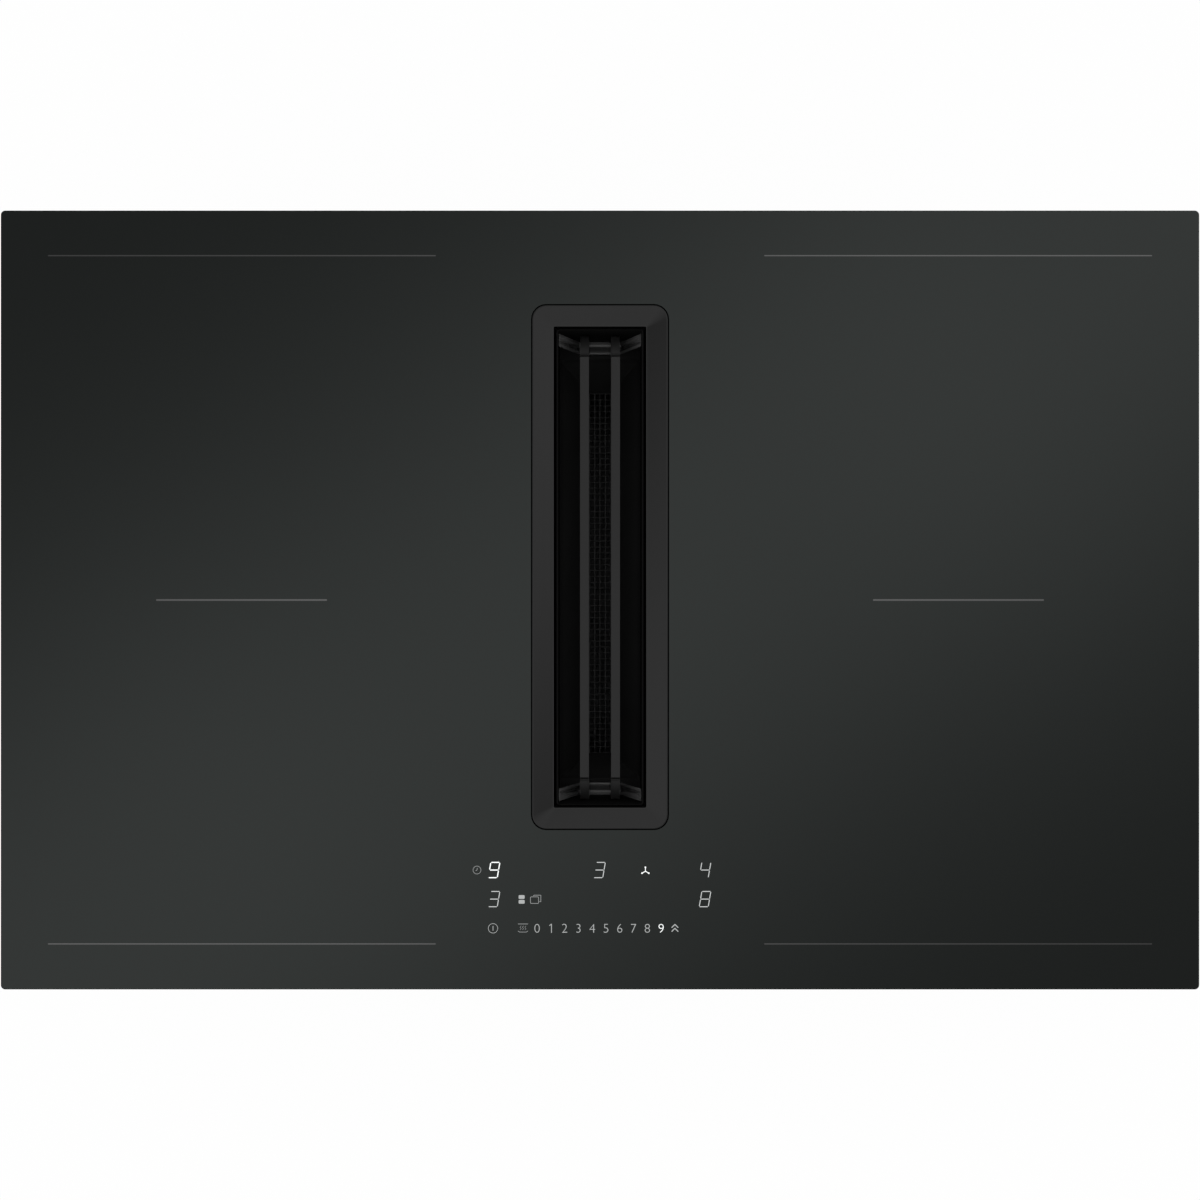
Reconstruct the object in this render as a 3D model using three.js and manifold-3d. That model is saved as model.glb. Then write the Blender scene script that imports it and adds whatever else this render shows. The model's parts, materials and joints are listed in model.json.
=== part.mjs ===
// Downdraft induction cooktop: a glass-ceramic hob with four coils, a central air intake with a lift-out
// grille, filter cassette and drip tray, and a blower in a housing below that blows out at the back.
// Units are millimetres, +X right, +Y towards the back, +Z up. The origin lies under the middle of the
// glass, at the height of the housing's flat bottom.
import * as THREE from "three";
import { mergeVertices } from "three/addons/utils/BufferGeometryUtils.js";
import Module from "manifold-3d";

const wasm = await Module();
wasm.setup();

// ---------------------------------------------------------------- driving dimensions

const OVERALL_HEIGHT = 200;
const GAP = 0.3; // clearance between a loose piece and its seat
const OVERRUN = 1; // how far a cutting shape runs past the face it cuts

const GLASS = { width: 800, depth: 520, thickness: 4, corner: 3 };
const RIM_SEAL = { inset: 4, width: 10, thickness: 3 };

const INTAKE = { y: 22, width: 91, depth: 350, corner: 9.5, openWidth: 61.4, openDepth: 321 };
const INTAKE_RING = { height: 10, flange: 6.5, flangeHeight: 5, dish: 2, border: 1, glassGap: 0.5 };
const INTAKE_SHAFT = { clearance: 0.5, wall: 2.5, ledge: 8, ledgeHeight: 5.4 };
const SHAFT_WINDOW = { front: -95, back: 135, sill: 42, height: 50 };

const CASSETTE = {
  clearWidth: 1.5,
  clearDepth: 1.1,
  wall: 1.1,
  topDrop: 3,
  bodyDepth: 42,
  funnelSide: 19.25,
  funnelEnd: 24.8,
  ledge: 11.4,
  plate: 2.7,
  plateOverhang: 2.4,
};
const MESH = { depth: 100, thickness: 1, pitchX: 4.05, pitchY: 4.5, wire: 0.9, waver: 0.04 };
const BAR = { width: 6, spacing: 20.8, drop: 2, height: 8, slopeRun: 16.6, legDepth: 8.4 };
const SADDLE = { thickness: 2, width: 8.4, drop: 37, endDrop: 10, flatHalf: 14.2 };
const DRIP_TRAY = { sideGap: 2.2, endGap: 1, height: 35, wall: 1.5 };

const CASING = { inset: 22, height: 50, sheet: 1, corner: 6, flange: 6 };
const CASING_SLOT = { width: 4, height: 22, pitch: 14, count: 8, top: 12, through: 10 };
const FAN_SLOT = { width: 5, length: 58, pitch: 12, count: 5 };

const COIL_PLATE = { inner: 108, outerGap: 7, endGap: 17, height: 34, sheet: 1.5 };
const COIL = { middleGap: 17, endGap: 7, boreRadius: 25, height: 9 };
const MICA = { sideOverlap: 12, endInset: 2, thickness: 1 };
const BOARD = {
  y: 60,
  margin: 33,
  depth: 190,
  thickness: 1.6,
  standoff: 6,
  standoffRadius: 3,
  standoffInset: 9,
};
const CAPACITOR = { radius: 11, height: 18, spacing: 45 };
const HEATSINK = { width: 64, depth: 150, base: 4, height: 20, fins: 9, fin: 1.4, shift: 34 };
const COOLING_FAN = {
  side: 80,
  height: 24,
  frontGap: 2,
  boreRadius: 38,
  arm: 5,
  hubRadius: 17,
  hubHeight: 14,
  hubCap: 3,
  bladeRadius: 36.5,
  blades: 7,
  blade: 1.4,
  bladePitch: 36,
  tipInset: 0.4,
  postRadius: 2.5,
  postDrop: 4,
  floor: 2,
};
const CONTROL = { x: -5, frontGap: 3, width: 190, depth: 69, wall: 2, boardDrop: 10, boardThickness: 1.6 };
const LIGHT_GUIDE = { margin: 6, edge: 6, rows: 3, rowDepth: 9.5 };

const HOUSING = { left: -112, right: 335, front: -148, back: 225, wall: 3, corner: 10, flange: 12 };
const SCROLL = {
  x: 185,
  y: 5,
  startRadius: 104,
  endRadius: 142,
  startAngle: 75,
  stepAngle: 9.5,
  tongueTurn: 8,
  tongueBack: 14,
  wall: 2,
  roof: 2,
  ductMargin: 1.5,
  outletY: 168,
  topGap: 6,
  bossRadius: 6,
  bossInset: 20,
};
const DUCT = { width: 222, height: 89, wall: 2, end: 256, flangeX: 12, flangeZ: 4, flange: 2 };
const IMPELLER = {
  radius: 92,
  ringInner: 78,
  roofGap: 8,
  inletGap: 4,
  blades: 26,
  blade: 1.2,
  chord: 17,
  bladeAngle: 40,
  bladeInset: 1,
  cupRadius: 52,
  cupSlope: 4,
  boss: 6,
  plate: 3,
};
const INLET = { radius: 72, lip: 3, lipHeight: 6, plate: 2 };
const MOTOR = {
  radius: 42,
  height: 44,
  shaftRadius: 4,
  boreGap: 0.35,
  bossRadius: 9,
  shaftReach: 26,
  hubGap: 7,
};
const FLAP = {
  thickness: 1.5,
  split: 1,
  barrelRadius: 3,
  pinRadius: 1.5,
  pinGap: 0.36,
  side: 1,
  sill: 3,
  bottomGap: 1.5,
  hingeY: 171.5,
};

const TERMINAL = {
  sideInset: 93,
  backInset: 56,
  width: 90,
  depth: 62,
  height: 38,
  wall: 2,
  cover: 3,
  corner: 3,
};
const TERMINAL_BLOCK = { width: 66, depth: 24, height: 20, poles: 5, rib: 3, well: 6 };
const GLAND = { radius: 13, nutRadius: 16, bore: 6.5, nut: 8, length: 18, neck: 1, taper: 3 };
const CLAMP = { endInset: 88, width: 30, plate: 14, leaf: 9, reach: 8, sheet: 1.5, top: 10 };
const SCREW = {
  headRadius: 4.2,
  crownRadius: 2.94,
  headSide: 1.56,
  head: 2.6,
  shankRadius: 2,
  hole: 2.35,
  reach: 5,
  seat: 0.05,
};
const HOUSING_SCREW_Y = [-95, 175];

// ---------------------------------------------------------------- sizes that follow from them

const glassBottom = OVERALL_HEIGHT - GLASS.thickness;
const casingBottom = glassBottom - CASING.height;
const casingFloor = casingBottom + CASING.sheet;
const casingOuter = { width: GLASS.width - 2 * CASING.inset, depth: GLASS.depth - 2 * CASING.inset };
const casingInner = {
  width: casingOuter.width - 2 * CASING.sheet,
  depth: casingOuter.depth - 2 * CASING.sheet,
};
const coilPlateTop = casingFloor + COIL_PLATE.height;
const coilPlateOuter = casingInner.width / 2 - COIL_PLATE.outerGap;
const coilPlateWidth = coilPlateOuter - COIL_PLATE.inner;
const coilPlateDepth = casingInner.depth - 2 * COIL_PLATE.endGap;
const coilRadius = (coilPlateDepth / 2 - COIL.middleGap - COIL.endGap) / 2;
const zone = { x: (COIL_PLATE.inner + coilPlateOuter) / 2, y: COIL.middleGap + coilRadius };
const boardWidth = coilPlateWidth - 2 * BOARD.margin;
const coolingFanY = -casingInner.depth / 2 + COOLING_FAN.frontGap + COOLING_FAN.side / 2;
const controlY = -casingInner.depth / 2 + CONTROL.frontGap + CONTROL.depth / 2;
const controlBoardBottom = glassBottom - CONTROL.boardDrop;
const clampY = casingOuter.depth / 2 - CLAMP.endInset;
const clampScrewZ = glassBottom - CLAMP.top - CLAMP.plate / 2;
const terminalX = -casingOuter.width / 2 + TERMINAL.sideInset;
const terminalY = casingOuter.depth / 2 - TERMINAL.backInset;
const ringBottom = OVERALL_HEIGHT - INTAKE_RING.height;
const meshTop = OVERALL_HEIGHT - MESH.depth;
const meshBottom = meshTop - MESH.thickness;
const scrollTop = casingBottom - SCROLL.topGap;
const scrollBottom = scrollTop - DUCT.height - 2 * SCROLL.ductMargin;
const motorTop = scrollTop - SCROLL.roof;
const motorBottom = motorTop - MOTOR.height;
const hubTop = motorBottom - MOTOR.hubGap;
const ductZ = (scrollTop + scrollBottom) / 2;
const ductX = SCROLL.x + SCROLL.endRadius - DUCT.width / 2; // its right side is in line with the scroll's
const flapPinZ = ductZ + DUCT.height / 2 - DUCT.wall - FLAP.barrelRadius - 2 * GAP;
const shaftInner = {
  width: INTAKE.openWidth + 2 * INTAKE_SHAFT.clearance,
  depth: INTAKE.openDepth + 2 * INTAKE_SHAFT.clearance,
};
const cassetteOuter = {
  width: INTAKE.openWidth - 2 * CASSETTE.clearWidth,
  depth: INTAKE.openDepth - 2 * CASSETTE.clearDepth,
};
const cassetteInner = {
  width: cassetteOuter.width - 2 * CASSETTE.wall,
  depth: cassetteOuter.depth - 2 * CASSETTE.wall,
};
const cassettePlateBottom = meshBottom - GAP - CASSETTE.plate;
const funnel = {
  width: cassetteInner.width - 2 * CASSETTE.funnelSide,
  depth: cassetteInner.depth - 2 * CASSETTE.funnelEnd,
};
const meshColumns = Math.floor((funnel.width - MESH.wire) / MESH.pitchX);
const meshRows = Math.floor((funnel.depth - MESH.wire) / MESH.pitchY);
const dripTray = {
  width: shaftInner.width - 2 * DRIP_TRAY.sideGap,
  depth: shaftInner.depth - 2 * INTAKE_SHAFT.ledge - 2 * DRIP_TRAY.endGap,
};

// ---------------------------------------------------------------- solids

/** A closed three.js geometry as a solid that can be joined and cut. */
function solidOf(geometry) {
  const bare = geometry.clone();
  bare.deleteAttribute("normal");
  bare.deleteAttribute("uv");
  const merged = mergeVertices(bare, 1e-4);
  const corners = merged.index.array;
  const kept = [];
  for (let i = 0; i < corners.length; i += 3) {
    const [a, b, c] = [corners[i], corners[i + 1], corners[i + 2]];
    if (a !== b && b !== c && c !== a) {
      kept.push(a, b, c);
    }
  }
  return new wasm.Manifold(
    new wasm.Mesh({
      numProp: 3,
      vertProperties: merged.attributes.position.array,
      triVerts: new Uint32Array(kept),
    }),
  );
}

/** A solid as a flat-shaded three.js geometry. */
function geometryOf(solid) {
  const mesh = solid.getMesh();
  const indexed = new THREE.BufferGeometry();
  indexed.setAttribute("position", new THREE.BufferAttribute(mesh.vertProperties, 3));
  indexed.setIndex(new THREE.BufferAttribute(mesh.triVerts, 1));
  const flat = indexed.toNonIndexed();
  flat.computeVertexNormals();
  return flat;
}

/** The geometry of a box between two corners. */
function boxGeometry(x0, x1, y0, y1, z0, z1) {
  const geometry = new THREE.BoxGeometry(x1 - x0, y1 - y0, z1 - z0);
  geometry.translate((x0 + x1) / 2, (y0 + y1) / 2, (z0 + z1) / 2);
  return geometry;
}

/** A box between two corners. */
function box(x0, x1, y0, y1, z0, z1) {
  return solidOf(boxGeometry(x0, x1, y0, y1, z0, z1));
}

/** A box that is centred on a point in plan. */
function block(x, y, width, depth, z0, z1) {
  return box(x - width / 2, x + width / 2, y - depth / 2, y + depth / 2, z0, z1);
}

/** An upright cylinder. */
function post(x, y, radius, z0, z1, segments = 24) {
  const geometry = new THREE.CylinderGeometry(radius, radius, z1 - z0, segments);
  geometry.rotateX(Math.PI / 2);
  geometry.translate(x, y, (z0 + z1) / 2);
  return solidOf(geometry);
}

/** A cylinder along X, from x0 to x1. */
function pinAlongX(x0, x1, y, z, radius, segments = 16) {
  const geometry = new THREE.CylinderGeometry(radius, radius, x1 - x0, segments);
  geometry.rotateZ(Math.PI / 2);
  geometry.translate((x0 + x1) / 2, y, z);
  return solidOf(geometry);
}

/** A rectangle with round corners, as a shape. */
function roundedRectangle(x, y, width, depth, radius) {
  const [left, right, front, back] = [x - width / 2, x + width / 2, y - depth / 2, y + depth / 2];
  const shape = new THREE.Shape();
  shape.moveTo(left + radius, front);
  shape.lineTo(right - radius, front);
  shape.absarc(right - radius, front + radius, radius, -Math.PI / 2, 0, false);
  shape.lineTo(right, back - radius);
  shape.absarc(right - radius, back - radius, radius, 0, Math.PI / 2, false);
  shape.lineTo(left + radius, back);
  shape.absarc(left + radius, back - radius, radius, Math.PI / 2, Math.PI, false);
  shape.lineTo(left, front + radius);
  shape.absarc(left + radius, front + radius, radius, Math.PI, 1.5 * Math.PI, false);
  return shape;
}

/** A shape in plan, extruded between two heights. */
function slab(shape, z0, z1, curveSegments = 4) {
  const geometry = new THREE.ExtrudeGeometry(shape, { depth: z1 - z0, bevelEnabled: false, curveSegments });
  geometry.translate(0, 0, z0);
  return solidOf(geometry);
}

/** A block with round upright edges. */
function roundedBlock(x, y, width, depth, radius, z0, z1) {
  return slab(roundedRectangle(x, y, width, depth, radius), z0, z1);
}

/** An outline of [y, z] points, extruded from x0 to x1. */
function sideProfile(points, x0, x1) {
  const shape = new THREE.Shape(points.map(([y, z]) => new THREE.Vector2(y, z)));
  const geometry = new THREE.ExtrudeGeometry(shape, { depth: x1 - x0, bevelEnabled: false });
  geometry.applyMatrix4(
    new THREE.Matrix4().makeBasis(
      new THREE.Vector3(0, 1, 0),
      new THREE.Vector3(0, 0, 1),
      new THREE.Vector3(1, 0, 0),
    ),
  );
  geometry.translate(x0, 0, 0);
  return solidOf(geometry);
}

/** An outline of [x, z] points, extruded from y0 to y1. */
function frontProfile(points, y0, y1) {
  const shape = new THREE.Shape(points.map(([x, z]) => new THREE.Vector2(x, z)));
  const geometry = new THREE.ExtrudeGeometry(shape, { depth: y1 - y0, bevelEnabled: false });
  geometry.rotateX(Math.PI / 2);
  geometry.translate(0, y1, 0);
  return solidOf(geometry);
}

/** A profile of [radius, z] points turned round an upright axis. */
function turned(x, y, points, segments = 32) {
  const profile = points.map(([radius, z]) => new THREE.Vector2(radius, z));
  const geometry = new THREE.LatheGeometry(profile, segments);
  geometry.rotateX(Math.PI / 2);
  geometry.translate(x, y, 0);
  return solidOf(geometry);
}

/** Rectangular sections {width, depth, z}, from the bottom up, joined into one tapered block. */
function taperedBlock(x, y, sections) {
  const positions = [];
  for (const { width, depth, z } of sections) {
    positions.push(x - width / 2, y - depth / 2, z);
    positions.push(x + width / 2, y - depth / 2, z);
    positions.push(x + width / 2, y + depth / 2, z);
    positions.push(x - width / 2, y + depth / 2, z);
  }
  const top = 4 * (sections.length - 1);
  const corners = [0, 2, 1, 0, 3, 2, top, top + 1, top + 2, top, top + 2, top + 3];
  for (let level = 0; level < sections.length - 1; level += 1) {
    for (let side = 0; side < 4; side += 1) {
      const low = 4 * level + side;
      const next = 4 * level + ((side + 1) % 4);
      corners.push(low, next, next + 4, low, next + 4, low + 4);
    }
  }
  const geometry = new THREE.BufferGeometry();
  geometry.setAttribute("position", new THREE.Float32BufferAttribute(positions, 3));
  geometry.setIndex(corners);
  return solidOf(geometry);
}

/** The solids joined into one. */
function join(solids) {
  return solids.reduce((whole, piece) => whole.add(piece));
}

/** The first solid with the others cut from it. */
function cut(whole, tools) {
  return tools.reduce((left, tool) => left.subtract(tool), whole);
}

/** The solid of a geometry turned about an upright axis through a point, by an angle in degrees. */
function turnedAbout(geometry, x, y, degrees) {
  geometry.translate(-x, -y, 0);
  geometry.rotateZ((degrees * Math.PI) / 180);
  geometry.translate(x, y, 0);
  return solidOf(geometry);
}

// ---------------------------------------------------------------- materials and nodes

const finishes = {
  blackGlass: { color: 0x0b0c0c, roughness: 0.2, metalness: 0 },
  blackPlastic: { color: 0x17181a, roughness: 0.55, metalness: 0 },
  blackEnamel: { color: 0x141516, roughness: 0.35, metalness: 0.2 },
  wire: { color: 0x5a5c5e, roughness: 0.4, metalness: 1 },
  zincSteel: { color: 0xa9adb0, roughness: 0.42, metalness: 1 },
  aluminium: { color: 0xc4c7c9, roughness: 0.38, metalness: 1 },
  copper: { color: 0x9a5b36, roughness: 0.4, metalness: 1 },
  mica: { color: 0xb8ae9a, roughness: 0.7, metalness: 0 },
  boardGreen: { color: 0x1f5a3a, roughness: 0.5, metalness: 0 },
  seal: { color: 0x101010, roughness: 0.85, metalness: 0 },
  whitePlastic: { color: 0xd8d9d6, roughness: 0.6, metalness: 0 },
};

const cooktop = new THREE.Group();

/** Adds one named mesh of a solid to the cooktop. */
function addNode(name, solid, finish) {
  const mesh = new THREE.Mesh(geometryOf(solid), new THREE.MeshStandardMaterial(finishes[finish]));
  mesh.name = name;
  cooktop.add(mesh);
}

// ---------------------------------------------------------------- glass, seals and intake ring

/** The glass plate with the opening that the intake ring stands in. */
function glassTop() {
  const shape = roundedRectangle(0, 0, GLASS.width, GLASS.depth, GLASS.corner);
  const opening = roundedRectangle(
    0,
    INTAKE.y,
    INTAKE.width + 2 * INTAKE_RING.glassGap,
    INTAKE.depth + 2 * INTAKE_RING.glassGap,
    INTAKE.corner + INTAKE_RING.glassGap,
  );
  shape.holes.push(opening);
  return slab(shape, glassBottom, OVERALL_HEIGHT);
}

/** The flat seal under the edge of the glass, which lies on the worktop. */
function rimSeal() {
  const shape = roundedRectangle(
    0,
    0,
    GLASS.width - 2 * RIM_SEAL.inset,
    GLASS.depth - 2 * RIM_SEAL.inset,
    GLASS.corner,
  );
  shape.holes.push(
    roundedRectangle(
      0,
      0,
      GLASS.width - 2 * RIM_SEAL.inset - 2 * RIM_SEAL.width,
      GLASS.depth - 2 * RIM_SEAL.inset - 2 * RIM_SEAL.width,
      GLASS.corner,
    ),
  );
  return slab(shape, glassBottom - RIM_SEAL.thickness, glassBottom, 2);
}

/** The ring round the air intake: flush with the glass, its faces sloping down to the opening. */
function intakeRing() {
  const flangeTop = ringBottom + INTAKE_RING.flangeHeight;
  const body = roundedBlock(0, INTAKE.y, INTAKE.width, INTAKE.depth, INTAKE.corner, ringBottom, OVERALL_HEIGHT);
  const flange = roundedBlock(
    0,
    INTAKE.y,
    INTAKE.width + 2 * INTAKE_RING.flange,
    INTAKE.depth + 2 * INTAKE_RING.flange,
    INTAKE.corner + INTAKE_RING.flange,
    ringBottom,
    flangeTop,
  );
  const top = OVERALL_HEIGHT + OVERRUN;
  const opening = block(0, INTAKE.y, INTAKE.openWidth, INTAKE.openDepth, ringBottom - OVERRUN, top);
  const rim = { width: INTAKE.width - 2 * INTAKE_RING.border, depth: INTAKE.depth - 2 * INTAKE_RING.border };
  const dish = taperedBlock(0, INTAKE.y, [
    { width: INTAKE.openWidth, depth: INTAKE.openDepth, z: OVERALL_HEIGHT - INTAKE_RING.dish },
    { ...rim, z: OVERALL_HEIGHT },
    { ...rim, z: top },
  ]);
  return cut(join([body, flange]), [opening, dish]);
}

/** The bond between the ring's flange and the underside of the glass. */
function ringSeal() {
  const margin = 2 * INTAKE_RING.flange;
  const gap = 2 * INTAKE_RING.glassGap;
  const shape = roundedRectangle(
    0,
    INTAKE.y,
    INTAKE.width + margin,
    INTAKE.depth + margin,
    INTAKE.corner + INTAKE_RING.flange,
  );
  shape.holes.push(
    roundedRectangle(
      0,
      INTAKE.y,
      INTAKE.width + gap,
      INTAKE.depth + gap,
      INTAKE.corner + INTAKE_RING.glassGap,
    ),
  );
  return slab(shape, ringBottom + INTAKE_RING.flangeHeight, glassBottom, 3);
}

// ---------------------------------------------------------------- air path in the middle

/** The square tube under the ring, with the cassette's ledges and the window to the blower. */
function intakeShaft() {
  const outerWidth = shaftInner.width + 2 * INTAKE_SHAFT.wall;
  const outerDepth = shaftInner.depth + 2 * INTAKE_SHAFT.wall;
  const bottom = HOUSING.wall;
  const tube = cut(block(0, INTAKE.y, outerWidth, outerDepth, bottom, ringBottom), [
    block(0, INTAKE.y, shaftInner.width, shaftInner.depth, bottom - OVERRUN, ringBottom + OVERRUN),
  ]);
  const ledgeTop = cassettePlateBottom - GAP;
  const ledgeBottom = ledgeTop - INTAKE_SHAFT.ledgeHeight;
  const sunk = INTAKE_SHAFT.wall / 2;
  const ledges = [-1, 1].map((side) => {
    const wallY = INTAKE.y + (side * shaftInner.depth) / 2;
    const middle = wallY - (side * (INTAKE_SHAFT.ledge - sunk)) / 2;
    return block(0, middle, shaftInner.width + sunk, INTAKE_SHAFT.ledge + sunk, ledgeBottom, ledgeTop);
  });
  const window = box(
    0,
    outerWidth,
    SHAFT_WINDOW.front,
    SHAFT_WINDOW.back,
    SHAFT_WINDOW.sill,
    SHAFT_WINDOW.sill + SHAFT_WINDOW.height,
  );
  return cut(join([tube, ...ledges]), [window]);
}

/** The lift-out cassette: upright walls, a ledge at each end for the grille, and a funnel to the mesh. */
function cassetteShell() {
  const top = OVERALL_HEIGHT - CASSETTE.topDrop;
  const waist = OVERALL_HEIGHT - CASSETTE.bodyDepth;
  const outer = taperedBlock(0, INTAKE.y, [
    {
      width: funnel.width + 2 * CASSETTE.wall,
      depth: funnel.depth + 2 * CASSETTE.wall,
      z: cassettePlateBottom,
    },
    {
      width: funnel.width + 2 * CASSETTE.wall,
      depth: funnel.depth + 2 * CASSETTE.wall,
      z: meshBottom,
    },
    { width: cassetteOuter.width, depth: cassetteOuter.depth, z: waist - CASSETTE.wall },
    { width: cassetteOuter.width, depth: cassetteOuter.depth, z: top },
  ]);
  const plate = block(
    0,
    INTAKE.y,
    funnel.width + 2 * CASSETTE.plateOverhang,
    cassetteOuter.depth - 2 * CASSETTE.plateOverhang,
    cassettePlateBottom,
    cassettePlateBottom + CASSETTE.plate,
  );
  const body = block(0, INTAKE.y, cassetteInner.width, cassetteInner.depth, waist, top + OVERRUN);
  const mouth = { width: cassetteInner.width, depth: cassetteInner.depth - 2 * CASSETTE.ledge };
  const taper = taperedBlock(0, INTAKE.y, [
    { ...funnel, z: meshBottom - GAP },
    { ...funnel, z: meshTop },
    { ...mouth, z: waist },
    { ...mouth, z: waist + OVERRUN },
  ]);
  const slotWidth = meshColumns * MESH.pitchX - MESH.wire;
  const slotDepth = meshRows * MESH.pitchY - MESH.wire;
  const slot = block(0, INTAKE.y, slotWidth, slotDepth, cassettePlateBottom - OVERRUN, meshTop);
  return cut(join([outer, plate]), [body, taper, slot]);
}

/** How far a wire of the net strays from its straight line at one crossing. */
function waver(column, row) {
  return MESH.waver * Math.sin(2.3 * column + 1.7 * row);
}

/** The flat wire net at the bottom of the cassette, whose wires waver a little, as woven ones do. */
function filterMesh() {
  const halfWidth = (meshColumns * MESH.pitchX + MESH.wire) / 2;
  const halfDepth = (meshRows * MESH.pitchY + MESH.wire) / 2;
  const shape = roundedRectangle(0, INTAKE.y, 2 * halfWidth, 2 * halfDepth, MESH.wire / 2);
  for (let column = 0; column < meshColumns; column += 1) {
    for (let row = 0; row < meshRows; row += 1) {
      const x = column * MESH.pitchX + MESH.wire - halfWidth + waver(column, row);
      const y = INTAKE.y + row * MESH.pitchY + MESH.wire - halfDepth + waver(row, column);
      const hole = new THREE.Path();
      hole.moveTo(x, y);
      hole.lineTo(x + waver(row, row), y + MESH.pitchY - MESH.wire);
      hole.lineTo(x + MESH.pitchX - MESH.wire, y + MESH.pitchY - MESH.wire + waver(column, column));
      hole.lineTo(x + MESH.pitchX - MESH.wire + waver(row, 0), y + waver(0, row));
      shape.holes.push(hole);
    }
  }
  return slab(shape, meshBottom, meshTop, 1);
}

/** One long bar of the grille, with a sloped end and a leg at each saddle. */
function grilleBar(side) {
  const top = OVERALL_HEIGHT - BAR.drop;
  const legBottom = OVERALL_HEIGHT - SADDLE.drop;
  const halfEnd = cassetteInner.depth / 2 - GAP;
  const halfFlat = halfEnd - BAR.slopeRun;
  const legInner = halfEnd - BAR.legDepth;
  const inside = halfFlat - BAR.height * Math.tan(Math.PI / 8);
  const innerSlopeZ = top - BAR.height - (legInner - inside);
  const half = [
    [halfFlat, top],
    [halfEnd, top - BAR.slopeRun],
    [halfEnd, legBottom],
    [legInner, legBottom],
    [legInner, innerSlopeZ],
    [inside, top - BAR.height],
  ];
  const mirrored = half.map(([y, z]) => [-y, z]).reverse();
  const outline = [...half, ...mirrored].map(([y, z]) => [INTAKE.y + y, z]);
  const middle = (side * BAR.spacing) / 2;
  return sideProfile(outline, middle - BAR.width / 2, middle + BAR.width / 2);
}

/** One cross saddle: a strap that hangs from wall to wall and carries the bars in its flat middle. */
function grilleSaddle(end) {
  const flatTop = OVERALL_HEIGHT - SADDLE.drop;
  const endTop = OVERALL_HEIGHT - SADDLE.endDrop;
  const halfWidth = cassetteInner.width / 2 - GAP;
  const outline = [
    [-halfWidth, endTop],
    [-halfWidth, endTop - SADDLE.thickness],
    [-SADDLE.flatHalf, flatTop - SADDLE.thickness],
    [SADDLE.flatHalf, flatTop - SADDLE.thickness],
    [halfWidth, endTop - SADDLE.thickness],
    [halfWidth, endTop],
    [SADDLE.flatHalf, flatTop],
    [-SADDLE.flatHalf, flatTop],
  ];
  const outerY = INTAKE.y + end * (cassetteInner.depth / 2 - GAP);
  const innerY = outerY - end * SADDLE.width;
  return frontProfile(outline, Math.min(outerY, innerY), Math.max(outerY, innerY));
}

/** The open tray on the housing floor, which catches what falls through the mesh. */
function dripTrayBox() {
  const bottom = HOUSING.wall + GAP;
  const top = bottom + DRIP_TRAY.height;
  const inner = { width: dripTray.width - 2 * DRIP_TRAY.wall, depth: dripTray.depth - 2 * DRIP_TRAY.wall };
  return cut(block(0, INTAKE.y, dripTray.width, dripTray.depth, bottom, top), [
    block(0, INTAKE.y, inner.width, inner.depth, bottom + DRIP_TRAY.wall, top + OVERRUN),
  ]);
}

// ---------------------------------------------------------------- casing tray and what it holds

/** The places of the four housing screws, in plan. */
function housingScrewPlaces() {
  const left = HOUSING.left - HOUSING.flange / 2;
  const right = HOUSING.right + HOUSING.flange / 2;
  return HOUSING_SCREW_Y.flatMap((y) => [
    [left, y],
    [right, y],
  ]);
}

/** The sheet-steel tray under the glass, with air slots and the opening for the shaft. */
function casingTray() {
  const low = casingBottom - OVERRUN;
  const high = casingFloor + OVERRUN;
  const body = roundedBlock(
    0,
    0,
    casingOuter.width,
    casingOuter.depth,
    CASING.corner,
    casingBottom,
    glassBottom,
  );
  const inside = roundedBlock(
    0,
    0,
    casingInner.width,
    casingInner.depth,
    CASING.corner - CASING.sheet,
    casingFloor,
    glassBottom + OVERRUN,
  );
  const flange = roundedBlock(
    0,
    0,
    casingOuter.width + 2 * CASING.flange,
    casingOuter.depth + 2 * CASING.flange,
    CASING.corner + CASING.flange,
    glassBottom - CASING.sheet,
    glassBottom,
  );
  const shaftHole = block(
    0,
    INTAKE.y,
    shaftInner.width + 2 * INTAKE_SHAFT.wall + 2 * GAP,
    shaftInner.depth + 2 * INTAKE_SHAFT.wall + 2 * GAP,
    low,
    high,
  );
  const tools = [inside, shaftHole];
  for (const side of [-1, 1]) {
    for (let slot = 0; slot < FAN_SLOT.count; slot += 1) {
      const y = coolingFanY + (slot - (FAN_SLOT.count - 1) / 2) * FAN_SLOT.pitch;
      tools.push(block(side * zone.x, y, FAN_SLOT.length, FAN_SLOT.width, low, high));
    }
    for (let slot = 0; slot < CASING_SLOT.count; slot += 1) {
      const y = (slot - (CASING_SLOT.count - 1) / 2) * CASING_SLOT.pitch;
      const top = glassBottom - CASING_SLOT.top;
      const x = (side * casingOuter.width) / 2;
      tools.push(block(x, y, CASING_SLOT.through, CASING_SLOT.width, top - CASING_SLOT.height, top));
    }
    for (const y of [-clampY, clampY]) {
      const x = (side * casingOuter.width) / 2;
      tools.push(pinAlongX(x - SCREW.reach, x + SCREW.reach, y, clampScrewZ, SCREW.hole, 12));
    }
  }
  for (const [x, y] of housingScrewPlaces()) {
    tools.push(post(x, y, SCREW.hole, low, high, 12));
  }
  return cut(join([body, flange]), tools);
}

/** The folded plate that carries the coils of one side above the electronics. */
function coilPlate(side) {
  const x = side * zone.x;
  return cut(block(x, 0, coilPlateWidth, coilPlateDepth, casingFloor, coilPlateTop), [
    block(
      x,
      0,
      coilPlateWidth - 2 * COIL_PLATE.sheet,
      coilPlateDepth + 2 * OVERRUN,
      casingFloor - OVERRUN,
      coilPlateTop - COIL_PLATE.sheet,
    ),
  ]);
}

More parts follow.
